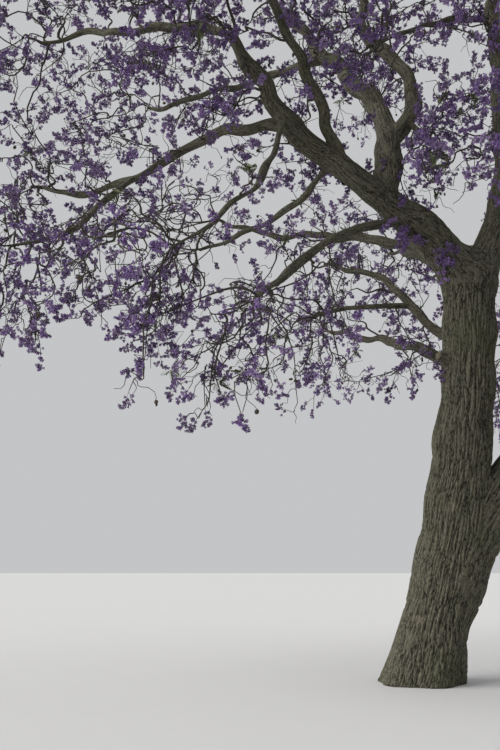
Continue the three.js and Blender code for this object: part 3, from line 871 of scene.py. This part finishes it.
def current_crown(context):
    blossom, twigs = context.scene.jacaranda_blossom, context.scene.jacaranda_twigs
    return grow_crown(blossom.panicles, blossom.panicle_length, twigs.tip_radius)


def shape_of(bm):
    """The points and triangles of a small bmesh shape, which is then freed."""
    bmesh.ops.remove_doubles(bm, verts=bm.verts, dist=1e-5)
    bmesh.ops.triangulate(bm, faces=bm.faces)
    points = np.array([vert.co for vert in bm.verts])
    bm.verts.index_update()
    triangles = np.array([[vert.index for vert in face.verts] for face in bm.faces])
    bm.free()
    return points, triangles


def flower_shape(mouth):
    """An open bell of five pointed petals, its foot at the origin and its mouth one unit away."""
    bm = bmesh.new()
    for i in range(5):
        petal = bmesh.ops.create_circle(bm, cap_ends=True, segments=3, radius=1)["verts"]
        foot = max(petal, key=lambda vert: vert.co.y)
        for vert in petal:
            vert.co = (vert.co.x * 0.62 * mouth, mouth, 1) if vert is not foot else (0, 0, 0)
        corner = max((vert for vert in petal if vert is not foot), key=lambda vert: vert.co.x)
        bmesh.ops.translate(bm, verts=[corner], vec=(0, -0.12 * mouth, -0.16))
        turn = Matrix.Rotation(math.radians(72 * i), 3, "Z")
        bmesh.ops.rotate(bm, verts=petal, matrix=turn, cent=(0, 0, 0))
    return shape_of(bm)


def pod_shape():
    """A flat round seed pod on a short foot at the origin."""
    bm = bmesh.new()
    made = bmesh.ops.create_icosphere(bm, subdivisions=1, radius=0.5)
    bmesh.ops.scale(bm, verts=made["verts"], vec=(1, 0.34, 1.08))
    bmesh.ops.translate(bm, verts=made["verts"], vec=(0, 0, 0.52))
    return shape_of(bm)


def leaf_shape():
    """A feathery leaf one unit long: pairs of narrow leaflets along a thin rib."""
    pairs = 6
    bm = bmesh.new()
    rib = bmesh.ops.create_cone(bm, segments=3, radius1=0.012, radius2=0.003, depth=1)
    bmesh.ops.translate(bm, verts=rib["verts"], vec=(0, 0, 0.5))
    for i in range(pairs):
        share = (i + 1.2) / (pairs + 0.6)
        long = 0.36 * math.sin(math.pi * (0.2 + 0.75 * share))
        for side in (-1, 1):
            blade = bmesh.ops.create_circle(bm, cap_ends=True, segments=4, radius=0.5)["verts"]
            bmesh.ops.scale(bm, verts=blade, vec=(long, 0.13, 1))
            bmesh.ops.translate(bm, verts=blade, vec=(long / 2, 0, 0))
            lean = Matrix.Rotation(math.radians(-38), 3, "Y")
            bmesh.ops.rotate(bm, verts=blade, matrix=lean, cent=(0, 0, 0))
            bmesh.ops.scale(bm, verts=blade, vec=(side, 1, 1))
            bmesh.ops.translate(bm, verts=blade, vec=(0, 0, share))
    return shape_of(bm)


def put_points(mesh, points):
    mesh.vertices.foreach_set("co", points.astype(np.float32).ravel())


def read_vectors(mesh, name):
    values = np.empty(3 * len(mesh.vertices), np.float32)
    mesh.vertices.foreach_get(name, values)
    return values.reshape(-1, 3)


def mesh_from(name, points, triangles, smooth=True):
    mesh = bpy.data.meshes.new(name)
    mesh.vertices.add(len(points))
    put_points(mesh, points)
    mesh.loops.add(triangles.size)
    mesh.loops.foreach_set("vertex_index", triangles.astype(np.int32).ravel())
    mesh.polygons.add(len(triangles))
    mesh.polygons.foreach_set("loop_start", np.arange(0, triangles.size, 3, dtype=np.int32))
    mesh.polygons.foreach_set("use_smooth", np.full(len(triangles), smooth))
    mesh.update(calc_edges=True)
    return mesh


def mesh_of(name, bm):
    """A bmesh as a mesh. The bmesh is then freed."""
    mesh = bpy.data.meshes.new(name)
    bm.to_mesh(mesh)
    bm.free()
    return mesh


def put(name, data):
    """A new object in the scene."""
    thing = bpy.data.objects.new(name, data)
    bpy.context.scene.collection.objects.link(thing)
    return thing


def place_piece(name, mesh, material, nodes):
    """Puts a finished mesh in the scene on the root body, and hides the solids that it stands for."""
    mesh.materials.clear()
    mesh.materials.append(material)
    piece = put(name, mesh)
    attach(piece, "root")
    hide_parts(*nodes)


def place_foliage(name, shape, material, smooth=True):
    """One kind of growth, joined, which stands with the others for every mass of foliage."""
    nodes = ["foliage_" + bough for bough in BOUGHS]
    place_piece(name, mesh_from(name, *shape, smooth), material, nodes)


# The skin of the limbs


class Join:
    """Where another limb meets a limb: the place, and the stretch and the skin's points near it."""

    def __init__(self, limb, other, points):
        self.other, self.carried = other, other is not limb.parent
        self.place = other.start if self.carried else limb.start
        reach = JOIN_REACH * (limb.thick + other.thick)
        share = 0 if self.carried else limb.size["at"]
        self.stretch = (share - 1.5 * reach / other.length, share + 1.5 * reach / other.length)
        at_fork = (other if self.carried else limb).size["at"] == 1
        self.soft = (FORK_SOFTNESS if at_fork else CROTCH_SOFTNESS) * min(limb.thick, other.thick)
        self.rows = np.flatnonzero(np.linalg.norm(points - self.place, axis=1) < reach)
        self.aim = unit(other.point(min(1, reach / other.length)) - self.place)

    def surface(self, points):
        """As the limb's own, but a limb that starts here doesn't reach back through the other side."""
        near = points[self.rows]
        far, out = self.other.surface(near, *self.stretch)
        if self.carried:
            behind = np.clip(-((near - self.place) @ self.aim) / (0.5 * self.soft), 0, 1)
            far = far + 3 * self.soft * behind
        return far, out


def find_joins(limb, limbs, points):
    """Where a limb meets the one that carries it, those that it carries and those that start with it."""
    joins = []
    for other in limbs.values():
        twin = limb.parent and other.parent is limb.parent and np.allclose(limb.start, other.start)
        if other is not limb and (other.parent is limb or other is limb.parent or twin):
            joins.append(Join(limb, other, points))
    return joins


def smooth_joins(points, middle, ahead, radius, joins):
    """Moves a limb's skin out to a rounded crotch wherever another limb meets it."""
    points = points.copy()
    for _ in range(SMOOTH_ROUNDS):
        away = points - middle
        away -= (away * ahead).sum(-1, keepdims=True) * ahead
        far, way = np.linalg.norm(away, axis=-1) - radius, unit(away)
        nearest = np.full(len(points), np.inf)
        for join in joins:
            rows = join.rows
            there, out = join.surface(points)
            nearest[rows] = np.minimum(nearest[rows], there)
            share = np.clip(0.5 + 0.5 * (there - far[rows]) / join.soft, 0, 1)
            way[rows] = mix(out, way[rows], share[:, None])
            far[rows] = mix(there, far[rows], share) - join.soft * share * (1 - share)
        step = way * (far / np.maximum((way * way).sum(-1), 0.2))[:, None]
        points -= np.where(nearest > -KEPT_DEPTH, 1, 0)[:, None] * step
    return points


def bark_height(way, width, length):
    """The height of the bark on each point of the skin, from 0 in a furrow to 1 on a ridge."""
    noise.seed_set(BARK_SEED)
    heights = np.empty(len(way))
    for i, place in enumerate(way / (width, width, length)):
        place = Vector(place)
        far = noise.voronoi(place + 0.4 * noise.noise_vector(0.6 * place))[0]
        heights[i] = min(1, (far[1] - far[0]) / RIDGE_SHARE)
    return heights


def knot_height(points, trunk):
    """Old branch scars: how high their low rings with a dimple stand, and how far they are bare wood."""
    total, bare = np.zeros(len(points)), np.zeros(len(points))
    for height, heading, width, depth in TRUNK_KNOTS:
        t = height / TRUNK_RISE
        centre = trunk.point(t) + heading_of(heading) * float(trunk.radius(t))
        far = np.linalg.norm(points - centre, axis=1) / width
        total += depth * np.exp(-far * far) * (1 - 1.1 * np.exp(-((far / 0.4) ** 2)))
        bare = np.maximum(bare, 0.5 * np.exp(-((far / 0.55) ** 4)))
    return total, bare


def plain_tube(name, around, along):
    """A closed tube of radius one and one unit long, in rings, as a mesh."""
    bm = bmesh.new()
    bmesh.ops.create_cone(bm, cap_ends=True, segments=around, radius1=1, radius2=1, depth=1)
    upright = [edge for edge in bm.edges if abs(edge.verts[0].co.z - edge.verts[1].co.z) > 0.5]
    bmesh.ops.subdivide_edges(bm, edges=upright, cuts=along - 1)
    return mesh_of(name, bm)


def limb_skin(limb, limbs, bark, cell):
    """One limb as a closed tube with rounded joins and the bark's relief."""
    around = max(LEAST_AROUND, round(2 * math.pi * float(limb.radius(0.35)) / cell))
    along = round(limb.end * limb.length / (FACE_STRETCH * cell))
    mesh = plain_tube("skin_" + limb.name, around, along)
    x, y, z = read_vectors(mesh, "co").astype(float).T
    t = np.clip(z + 0.5, 0, 1) * limb.end
    angle = np.arctan2(y, x)
    radius = limb.skin_radius(t, -angle)
    ahead = np.broadcast_to((0, 0, 1.0), (len(t), 3)) if limb.level else limb.tangent(t)
    across = unit(limb.side - (ahead @ limb.side)[:, None] * ahead)
    over = np.cross(ahead, across)
    middle = limb.reach(t)
    points = middle + radius[:, None] * (np.cos(angle)[:, None] * across + np.sin(angle)[:, None] * over)
    points = smooth_joins(points, middle, ahead, radius, find_joins(limb, limbs, points))

    # The way over the bark is round and along the limb, and starts elsewhere in it on each limb
    shift = len(limb.name) * 1.7 + limb.length
    way = np.stack([radius * np.cos(angle) + shift, radius * np.sin(angle), t * limb.length], -1)
    height = bark_height(way, bark.furrow_width, bark.furrow_length)
    share = np.clip(radius / TRUNK_FORK_RADIUS, LEAST_RELIEF, 1)
    relief = bark.furrow_depth * share * (height - MIDDLE_HEIGHT)
    scar = np.where(isinstance(limb, Stub) & (t > 0.999), 1.0, 0.0)
    if limb.level:
        rings, scar = knot_height(points, limb)
        relief = relief * (1 - 0.8 * scar) + rings
    twist = 2 * np.sin(angle + way[:, 2] * 1.3)
    swell = SWELL * np.minimum(radius, OLD_RADIUS) * np.sin(way[:, 2] * 5.1 + twist)
    put_points(mesh, points)
    mesh.update()
    points = drifted(points + read_vectors(mesh, "normal") * (relief + swell)[:, None])
    points[:, 2] = np.maximum(points[:, 2], 0)
    if limb.level:
        points[t < 1e-6, 2] = 0
    put_points(mesh, points)

    on_mesh = mesh.attributes.new("bark_way", "FLOAT_VECTOR", "POINT")
    on_mesh.data.foreach_set("vector", way.astype(np.float32).ravel())
    age = np.clip(radius / OLD_RADIUS, 0, 1)
    for name, values in {"ridge": height, "age": age, "scar": scar}.items():
        on_mesh = mesh.attributes.new(name, "FLOAT", "POINT")
        on_mesh.data.foreach_set("value", values.astype(np.float32))
    return mesh


def limb_piece(name, members, bark, cell, material):
    """The joined skins of several limbs and stubs as one piece, in place of the limbs' solids."""
    limbs = dict(lay_out_limbs())
    limbs.update({member: Stub(member, STUBS[member], limbs) for member in members if member in STUBS})
    bm = bmesh.new()
    for member in members:
        mesh = limb_skin(limbs[member], limbs, bark, cell)
        bm.from_mesh(mesh)
        bpy.data.meshes.remove(mesh)
    whole = mesh_of(name, bm)
    whole.polygons.foreach_set("use_smooth", np.full(len(whole.polygons), True))
    solids = [member for member in members if member not in STUBS]
    nodes = [member if member == "trunk" else "bough_" + member for member in solids]
    place_piece(name, whole, material, nodes)


def carried_by(first):
    """A bough and every bough that it carries, however far along."""
    limbs = lay_out_limbs()
    found = []
    for name in BOUGHS:
        limb = limbs[name]
        while limb.name != "trunk" and limb.name not in first:
            limb = limb.parent
        if limb.name in first:
            found.append(name)
    return found


# Materials


class Wire:
    """The output of a node, on which the signs of arithmetic add Math nodes."""

    def __init__(self, finish, output):
        self.finish, self.output = finish, output

    def maths(self, operation, first, second):
        return self.finish.add("Math", {"operation": operation}, {0: first, 1: second})

    def __add__(self, other):
        return self.maths("ADD", self, other)

    def __rsub__(self, other):
        return self.maths("SUBTRACT", other, self)

    def __mul__(self, other):
        return self.maths("MULTIPLY", self, other)

    __radd__, __rmul__ = __add__, __mul__


class Finish:
    """A material, with one method that adds any node to it."""

    def __init__(self, name):
        self.material = bpy.data.materials.new(name)
        self.material.use_nodes = True
        self.tree = self.material.node_tree
        self.tree.nodes.clear()

    def add(self, kind, settings=None, sockets=None, out=0):
        """A node, its settings first, then the values or links of its sockets."""
        node = self.tree.nodes.new("ShaderNode" + kind)
        for name, value in (settings or {}).items():
            setattr(node, name, value)
        for name, value in (sockets or {}).items():
            if isinstance(value, Wire):
                self.tree.links.new(value.output, node.inputs[name])
            else:
                node.inputs[name].default_value = value
        return Wire(self, node.outputs[out]) if len(node.outputs) else None

    def here(self):
        """The place on the object."""
        return self.add("TexCoord", None, None, 3)

    def kept(self, name, out=2):
        """What the mesh keeps under a name: a number, or a vector from output 1."""
        return self.add("Attribute", {"attribute_name": name}, None, out)

    def blend(self, share, first, second):
        """A colour between two others."""
        return self.add("Mix", {"data_type": "RGBA"}, {0: share, 6: first, 7: second}, 2)

    def spots(self, vector, scale, detail=3.0, rough=0.55):
        return self.add(
            "TexNoise", None, {"Vector": vector, "Scale": scale, "Detail": detail, "Roughness": rough}
        )

    def ramp(self, share, low, high):
        """0 below the low value, 1 above the high one."""
        return self.add("MapRange", {"interpolation_type": "SMOOTHSTEP"}, {0: share, 1: low, 2: high})

    def surface(self, height=None, depth=0.0, strength=0.0, **sockets):
        """The finished material, with a bump where a height is given."""
        values = {name.replace("_", " "): value for name, value in sockets.items()}
        if height is not None:
            bump = {"Height": height, "Distance": depth, "Strength": strength}
            values["Normal"] = self.add("Bump", None, bump)
        shader = self.add("BsdfPrincipled", None, values)
        self.add("OutputMaterial", None, {"Surface": shader})
        return self.material


def rgba(colour, share=1.0):
    return (*(share * part for part in colour), 1.0)


def bark_finish(sizes):
    """Grey-brown furrowed bark with painted shade that darkens its furrows and cracks, finer scales and
    patches of lichen.
    """
    finish = Finish("furrowed_bark")
    ridge, age, scar = finish.kept("ridge"), finish.kept("age"), finish.kept("scar")
    here = finish.here()
    way = {"Vector": finish.kept("bark_way", 1), "Scale": (1, 1, 0.22)}
    stretched = finish.add("Mapping", None, way)
    scales = finish.add(
        "TexVoronoi", {"feature": "DISTANCE_TO_EDGE"},
        {"Vector": stretched, "Scale": 1.9 / sizes.furrow_width, "Randomness": 1.0},
    )
    cracks = finish.ramp(scales, 0.02, 0.2)
    fibres = finish.spots(stretched, 95.0, 4.0)
    height = (0.45 * ridge + 0.25 * cracks) + 0.3 * fibres
    light = finish.blend(finish.ramp(fibres, 0.3, 0.7), rgba(sizes.ridge), rgba(sizes.ridge_light))
    # Painted shade: the tone falls from the ridges to the dark furrow shade colour in the furrows and
    # cracks, by the relief's height
    tone = finish.blend(finish.ramp(height, 0.14, 0.62), rgba(sizes.furrow), light)
    mossy = finish.ramp(finish.spots(here, 1.1, 4.0), 0.5, 0.72) * finish.ramp(fibres, 0.25, 0.6)
    tone = finish.blend(0.5 * mossy, tone, rgba(sizes.lichen))
    young = finish.blend(finish.spots(here, 7.0), rgba(sizes.young), light)
    tone = finish.blend(0.55 * (1 - age), tone, young)
    tone = finish.blend(0.7 * scar, tone, rgba(sizes.scar))
    return finish.surface(
        height, 0.014, 1.0, Base_Color=tone, Roughness=0.98 - 0.12 * height, Specular_IOR_Level=0.25
    )


def twig_finish(sizes):
    """Thin grey-brown twigs with pale specks."""
    finish = Finish("twig_bark")
    here = finish.here()
    tone = finish.blend(finish.spots(here, 5.0), rgba(sizes.colour), rgba(sizes.light_colour))
    specks = finish.ramp(finish.spots(here, 140.0, 1.0), 0.62, 0.7)
    tone = finish.blend(0.4 * specks, tone, rgba(sizes.specks))
    return finish.surface(specks, 0.002, 0.4, Base_Color=tone, Roughness=0.9 - 0.1 * specks)


def petal_finish(name, colour):
    """Soft matt petals: one tint with slightly paler and bluer flushes."""
    finish = Finish(name)
    here = finish.here()
    pale = rgba(min(1, 1.45 * part + 0.01) for part in colour)
    flush = finish.ramp(finish.spots(here, 24.0, 2.0), 0.35, 0.7)
    tone = finish.blend(flush, rgba(colour, 0.72), pale)
    return finish.surface(
        flush, 0.003, 0.25, Base_Color=tone, Roughness=0.72 - 0.15 * flush, Sheen_Weight=0.25,
        Sheen_Roughness=0.6, Specular_IOR_Level=0.3,
    )


def leaf_finish(sizes):
    """Young green leaves, some paler, with fine veins."""
    finish = Finish("young_leaf")
    here = finish.here()
    young = finish.ramp(finish.spots(here, 9.0), 0.35, 0.65)
    tone = finish.blend(young, rgba(sizes.leaf), rgba(sizes.leaf_light))
    veins = finish.spots(here, 160.0, 2.0)
    return finish.surface(veins, 0.001, 0.3, Base_Color=tone, Roughness=0.62 - 0.15 * veins)


def pod_finish(sizes):
    """Dry dark pods with a worn grain."""
    finish = Finish("dry_pod")
    here = finish.here()
    grain = finish.spots(here, 60.0, 4.0)
    tone = finish.blend(grain, rgba(sizes.pod), rgba(sizes.pod_light))
    return finish.surface(grain, 0.002, 0.5, Base_Color=tone, Roughness=0.85 - 0.2 * grain)


def floor_finish(colour):
    """A plain pale floor, very slightly uneven in tone."""
    finish = Finish("pale_floor")
    here = finish.here()
    grain = finish.spots(here, 0.8, 3.0)
    tone = finish.blend(grain, rgba(colour, 0.97), rgba(colour))
    return finish.surface(Base_Color=tone, Roughness=0.95 - 0.05 * grain)


# Sizes and colours that a user may change


def size(name, description, default, **more):
    return FloatProperty(
        name=name, description=description, default=default, min=0, precision=4, subtype="DISTANCE",
        unit="LENGTH", **more,
    )


def colour(name, description, default):
    return FloatVectorProperty(
        name=name, description=description, default=default, size=3, min=0, max=1, subtype="COLOR"
    )


class JACARANDA_PG_bark(bpy.types.PropertyGroup):
    furrow_width: size("Furrow width", "Width of one plate of bark between furrows", 0.046)
    furrow_length: size("Furrow length", "Length of one plate of bark", 0.52)
    furrow_depth: size("Furrow depth", "Depth of the furrows on the trunk", 0.028)
    trunk_cell: size("Trunk cell", "Width of one face of the trunk's skin", 0.0125)
    bough_cell: size("Bough cell", "Width of one face of a bough's skin", 0.0165)
    ridge: colour("Ridge", "Bark between the furrows", (0.047, 0.0445, 0.029))
    ridge_light: colour("Light ridge", "Worn fibres on the ridges", (0.158, 0.151, 0.109))
    # Painted shade: the dark colour laid into the furrows and cracks as shade
    furrow: colour("Furrow", "Bark deep in the furrows", (0.01, 0.0095, 0.0065))
    lichen: colour("Lichen", "Thin green-grey growth on the bark", (0.066, 0.072, 0.035))
    young: colour("Young bark", "Smoother bark on the thin boughs", (0.043, 0.04, 0.029))
    scar: colour("Scar", "Bare wood of the old branch scars", (0.2, 0.165, 0.12))


class JACARANDA_PG_twigs(bpy.types.PropertyGroup):
    tip_radius: size("Tip radius", "Radius of a shoot where it ends in a panicle", 0.0052)
    colour: colour("Twig", "Bark of the twigs", (0.026, 0.022, 0.016))
    light_colour: colour("Light twig", "Paler stretches of the twigs", (0.052, 0.045, 0.034))
    specks: colour("Specks", "Pale specks on the twigs", (0.14, 0.125, 0.105))


class JACARANDA_PG_blossom(bpy.types.PropertyGroup):
    panicles: IntProperty(
        name="Panicles", description="Most panicles in one spray", default=13, min=1, max=30
    )
    panicle_length: size("Panicle length", "Length of one panicle", 0.215)
    flower_length: size("Flower length", "Length of one bell", 0.043)
    mouth: FloatProperty(
        name="Mouth", description="Radius of a bell's mouth as a share of its length", default=0.5,
        min=0.1, max=1, subtype="FACTOR",
    )
    # Partly painted shade: a darker violet for shadowed sprays, and partly panicles in full colour
    deep: colour("Deep violet", "Panicles in full colour", (0.095, 0.043, 0.17))
    violet: colour("Violet", "Most panicles", (0.138, 0.066, 0.23))
    dusky: colour("Dusky violet", "Duller panicles", (0.125, 0.071, 0.185))
    lilac: colour("Lilac", "Paler panicles", (0.195, 0.11, 0.3))
    pale: colour("Pale lilac", "Panicles past their best", (0.26, 0.172, 0.36))


class JACARANDA_PG_fruit(bpy.types.PropertyGroup):
    pod_width: size("Pod width", "Width of one seed pod", 0.062)
    leaf_length: size("Leaf length", "Length of one young leaf", 0.2)
    leaves: IntProperty(name="Leaves", description="Leaves in one tuft", default=7, min=1, max=12)
    pod: colour("Pod", "Dry seed pods", (0.028, 0.021, 0.015))
    pod_light: colour("Light pod", "Worn patches of the pods", (0.075, 0.053, 0.036))
    leaf: colour("Leaf", "Young leaves", (0.06, 0.078, 0.03))
    leaf_light: colour("Light leaf", "Youngest leaves", (0.12, 0.135, 0.06))


class JACARANDA_PG_stage(bpy.types.PropertyGroup):
    lens: FloatProperty(
        name="Lens", description="Focal length for a 36 mm frame", default=40.8, min=10, unit="CAMERA"
    )
    eye: FloatVectorProperty(
        name="Eye", description="Where the camera stands", default=(-2.4775, -13, 1.6), size=3,
        subtype="XYZ", unit="LENGTH",
    )
    tilt: FloatProperty(
        name="Tilt", description="How far the camera looks up", default=math.radians(12.9),
        subtype="ANGLE", unit="ROTATION",
    )
    sky: colour("Backdrop", "Even light from all round", (0.55, 0.555, 0.565))
    floor: colour("Floor", "Plain pale floor", (0.66, 0.655, 0.645))
    key: FloatProperty(name="Key light", description="Wide light from the left", default=3.2)
    fill: FloatProperty(name="Fill light", description="Wide light from behind", default=0.1)


# One operator for each piece or group of like pieces, and one for the stage


class JACARANDA_OT_trunk(bpy.types.Operator):
    """Build the trunk's furrowed skin, with its root flare, branch scars and sawn stubs"""

    bl_idname = "jacaranda.trunk"
    bl_label = "Trunk"

    def execute(self, context):
        bark = context.scene.jacaranda_bark
        limb_piece("trunk_bark", ["trunk", *STUBS], bark, bark.trunk_cell, bark_finish(bark))
        return {"FINISHED"}


class JACARANDA_OT_boughs(bpy.types.Operator):
    """Build the boughs' skins, rounded into the limbs that carry them"""

    bl_idname = "jacaranda.boughs"
    bl_label = "Boughs"

    def execute(self, context):
        bark = context.scene.jacaranda_bark
        material = bpy.data.materials["furrowed_bark"]
        groups = {
            "left_boughs": ("left_leader",),
            "upright_boughs": ("right_stem",),
            "low_right_boughs": ("right_low",),
            "back_boughs": ("back", "side_left", "back_low"),
        }
        for name, first in groups.items():
            limb_piece(name, carried_by(first), bark, bark.bough_cell, material)
        return {"FINISHED"}


class JACARANDA_OT_twigs(bpy.types.Operator):
    """Build the twigs that branch through each mass, and the fine shoots that carry the panicles"""

    bl_idname = "jacaranda.twigs"
    bl_label = "Twigs"

    def execute(self, context):
        crown = current_crown(context)
        material = twig_finish(context.scene.jacaranda_twigs)
        pieces = {
            "twigs": joined([tubes(crown.branches, 14, 5), tubes(crown.axes, 10, 4)]),
            "shoots": tubes(crown.shoots, 6, 3),
            "bare_shoots": tubes(crown.hanging, 8, 3),
        }
        for name, (points, triangles) in pieces.items():
            place_foliage(name, (drifted(points), triangles), material)
        return {"FINISHED"}


class JACARANDA_OT_blossom(bpy.types.Operator):
    """Build the panicles: a stalk with side stalks, and bells along them"""

    bl_idname = "jacaranda.blossom"
    bl_label = "Blossom"

    def execute(self, context):
        sizes = context.scene.jacaranda_blossom
        crown = current_crown(context)
        dice = np.random.RandomState(BELL_SEED)
        root, aim, length, tint = (np.array(column) for column in zip(*crown.panicles))
        root = drifted(root)
        stalks, places, facing, owners = self.lay_out(root, aim, length, dice)
        self.build_stalks(stalks)
        bell = flower_shape(sizes.mouth)
        big = sizes.flower_length * dice.uniform(0.75, 1.2, len(places))
        frames = frames_for(facing, dice)
        # The panicles dealt the deep tint carry painted shade in part, as darker petals for shadowed
        # sprays
        dealt = np.searchsorted(np.quantile(tint, TINT_STEPS), tint)
        for i, name in enumerate(TINTS):
            own = dealt[owners] == i
            bells = scattered(bell, places[own], frames[own], big[own])
            finish = petal_finish(name + "_petals", getattr(sizes, name))
            place_foliage(name + "_blossom", bells, finish)
        return {"FINISHED"}

    @staticmethod
    def lay_out(root, aim, length, dice):
        """The stalks of every panicle, and each bell's foot, direction and panicle."""
        frames = frames_for(aim, dice)
        stalks = [(root, root + aim * length[:, None], STALK_RADIUS)]
        places, facing, owners = [], [], []
        down = np.array([0, 0, 1.0])
        who = np.arange(len(root))

        def add_bell(foot, way):
            places.append(foot)
            facing.append(unit(way))
            owners.append(who)

        for j in range(SIDE_STALKS):
            share = 0.1 + 0.78 * j / (SIDE_STALKS - 1)
            turn = STALK_TURN * j + dice.uniform(0, 6.3, len(root))[:, None]
            sideways = np.cos(turn) * frames[:, 0] + np.sin(turn) * frames[:, 1]
            way = unit(0.85 * sideways + 0.5 * aim + 0.22 * dice.normal(size=root.shape) - 0.1 * down)
            start = root + aim * (share * length)[:, None]
            long = (length * (0.54 - 0.26 * share) * dice.uniform(0.8, 1.2, len(root)))[:, None]
            stalks.append((start, start + way * long, SIDE_STALK_RADIUS))
            for k in range(SIDE_BELLS):
                foot = start + way * long * (0.2 + 0.75 * k / (SIDE_BELLS - 1))
                add_bell(foot, 0.3 * way + 0.75 * dice.normal(size=root.shape) - 0.25 * down)
        for k in range(END_BELLS):
            foot = root + aim * (length * (0.66 + 0.11 * k))[:, None]
            add_bell(foot, 0.6 * aim + 0.6 * dice.normal(size=root.shape))
        return stalks, np.concatenate(places), np.concatenate(facing), np.concatenate(owners)

    @staticmethod
    def build_stalks(stalks):
        """Three-sided spikes for the panicles' stalks."""
        bm = bmesh.new()
        made = bmesh.ops.create_cone(bm, segments=3, radius1=1, radius2=0.3, depth=1, cap_ends=True)
        bmesh.ops.translate(bm, verts=made["verts"], vec=(0, 0, 0.5))
        tip = [vert for vert in bm.verts if vert.co.z > 0.5]
        bmesh.ops.pointmerge(bm, verts=tip, merge_co=(0, 0, 1))
        points, triangles = shape_of(bm)
        parts = []
        dice = np.random.RandomState(STALK_SEED)
        for start, end, radius in stalks:
            far = np.linalg.norm(end - start, axis=1)
            frames = frames_for((end - start) / far[:, None], dice)
            frames = frames * np.stack([0 * far + radius, 0 * far + radius, far], -1)[..., None]
            parts.append(scattered((points, triangles), start, frames, np.ones(len(start))))
        place_foliage("panicle_stalks", joined(parts), bpy.data.materials["twig_bark"])


class JACARANDA_OT_fruit(bpy.types.Operator):
    """Build the dry seed pods and the few tufts of young feathery leaves"""

    bl_idname = "jacaranda.fruit"
    bl_label = "Pods and leaves"

    def execute(self, context):
        sizes = context.scene.jacaranda_fruit
        crown = current_crown(context)
        dice = np.random.RandomState(FRUIT_SEED)
        places = drifted(np.array(crown.pods))
        hang = unit(dice.normal(size=places.shape) * 0.35 - (0, 0, 1))
        frames = frames_for(hang, dice)
        wide = sizes.pod_width * dice.uniform(0.75, 1.15, len(places))
        place_foliage("seed_pods", scattered(pod_shape(), places, frames, wide), pod_finish(sizes))
        root, aim = (np.repeat(np.array(column), sizes.leaves, axis=0) for column in zip(*crown.tufts))
        aim = unit(aim + 0.75 * dice.normal(size=aim.shape) + (0, 0, 0.15))
        long = sizes.leaf_length * dice.uniform(0.6, 1.15, len(aim))
        leaves = scattered(leaf_shape(), drifted(root), frames_for(aim, dice), long)
        place_foliage("young_leaves", leaves, leaf_finish(sizes), smooth=False)
        return {"FINISHED"}


class JACARANDA_OT_stage(bpy.types.Operator):
    """Set the plain pale floor, the soft lights and the camera"""

    bl_idname = "jacaranda.stage"
    bl_label = "Stage"

    def execute(self, context):
        stage = context.scene.jacaranda_stage
        bm = bmesh.new()
        bmesh.ops.create_grid(bm, x_segments=1, y_segments=1, size=FLOOR_SIZE)
        bmesh.ops.translate(bm, verts=bm.verts, vec=(0, 0, -FLOOR_DROP))
        mesh = mesh_of("floor", bm)
        mesh.materials.append(floor_finish(stage.floor))
        floor = put("floor", mesh)
        world = bpy.data.worlds.new("backdrop")
        world.use_nodes = True
        world.node_tree.nodes["Background"].inputs["Color"].default_value = rgba(stage.sky)
        context.scene.world = world
        self.add_light("key_light", stage.key, KEY_PLACE)
        self.add_light("fill_light", stage.fill, FILL_PLACE)
        self.add_camera(context, stage)
        context.scene.view_settings.view_transform = "Standard"
        return {"FINISHED"}

    @staticmethod
    def add_light(name, strength, place):
        """An even light from far away, wide enough for soft shadows."""
        lamp = bpy.data.lights.new(name, "SUN")
        lamp.energy, lamp.angle, lamp.color = strength, LIGHT_WIDTH, LIGHT_COLOUR
        light = put(name, lamp)
        light.location = place
        light.rotation_euler = (-Vector(place)).to_track_quat("-Z", "Y").to_euler()

    @staticmethod
    def add_camera(context, stage):
        lens = bpy.data.cameras.new("camera")
        lens.lens, lens.sensor_width, lens.clip_end = stage.lens, 36, 1000
        camera = put("camera", lens)
        camera.location = stage.eye
        camera.rotation_euler = (math.pi / 2 + stage.tilt, 0, 0)
        context.scene.camera = camera


PIECES = (
    JACARANDA_OT_trunk, JACARANDA_OT_boughs, JACARANDA_OT_twigs, JACARANDA_OT_blossom,
    JACARANDA_OT_fruit, JACARANDA_OT_stage,
)
GROUPS = {
    "jacaranda_bark": JACARANDA_PG_bark,
    "jacaranda_twigs": JACARANDA_PG_twigs,
    "jacaranda_blossom": JACARANDA_PG_blossom,
    "jacaranda_fruit": JACARANDA_PG_fruit,
    "jacaranda_stage": JACARANDA_PG_stage,
}


class JACARANDA_PT_panel(bpy.types.Panel):
    """The tree's pieces in the order in which they are built, and their sizes and colours"""

    bl_idname = "JACARANDA_PT_panel"
    bl_label = "Jacaranda"
    bl_space_type = "VIEW_3D"
    bl_region_type = "UI"
    bl_category = "Jacaranda"

    def draw(self, context):
        for piece in PIECES:
            self.layout.operator(piece.bl_idname)
        for name, group in GROUPS.items():
            box = self.layout.box()
            for field in group.__annotations__:
                box.prop(getattr(context.scene, name), field)


def register():
    for made in (*GROUPS.values(), *PIECES, JACARANDA_PT_panel):
        bpy.utils.register_class(made)
    for name, group in GROUPS.items():
        setattr(bpy.types.Scene, name, PointerProperty(type=group))


def unregister():
    for name in GROUPS:
        delattr(bpy.types.Scene, name)
    for made in (JACARANDA_PT_panel, *reversed(PIECES), *reversed(GROUPS.values())):
        bpy.utils.unregister_class(made)


def main():
    register()
    for piece in PIECES:
        group, name = piece.bl_idname.split(".")
        getattr(getattr(bpy.ops, group), name)()


if __name__ == "__main__":
    main()
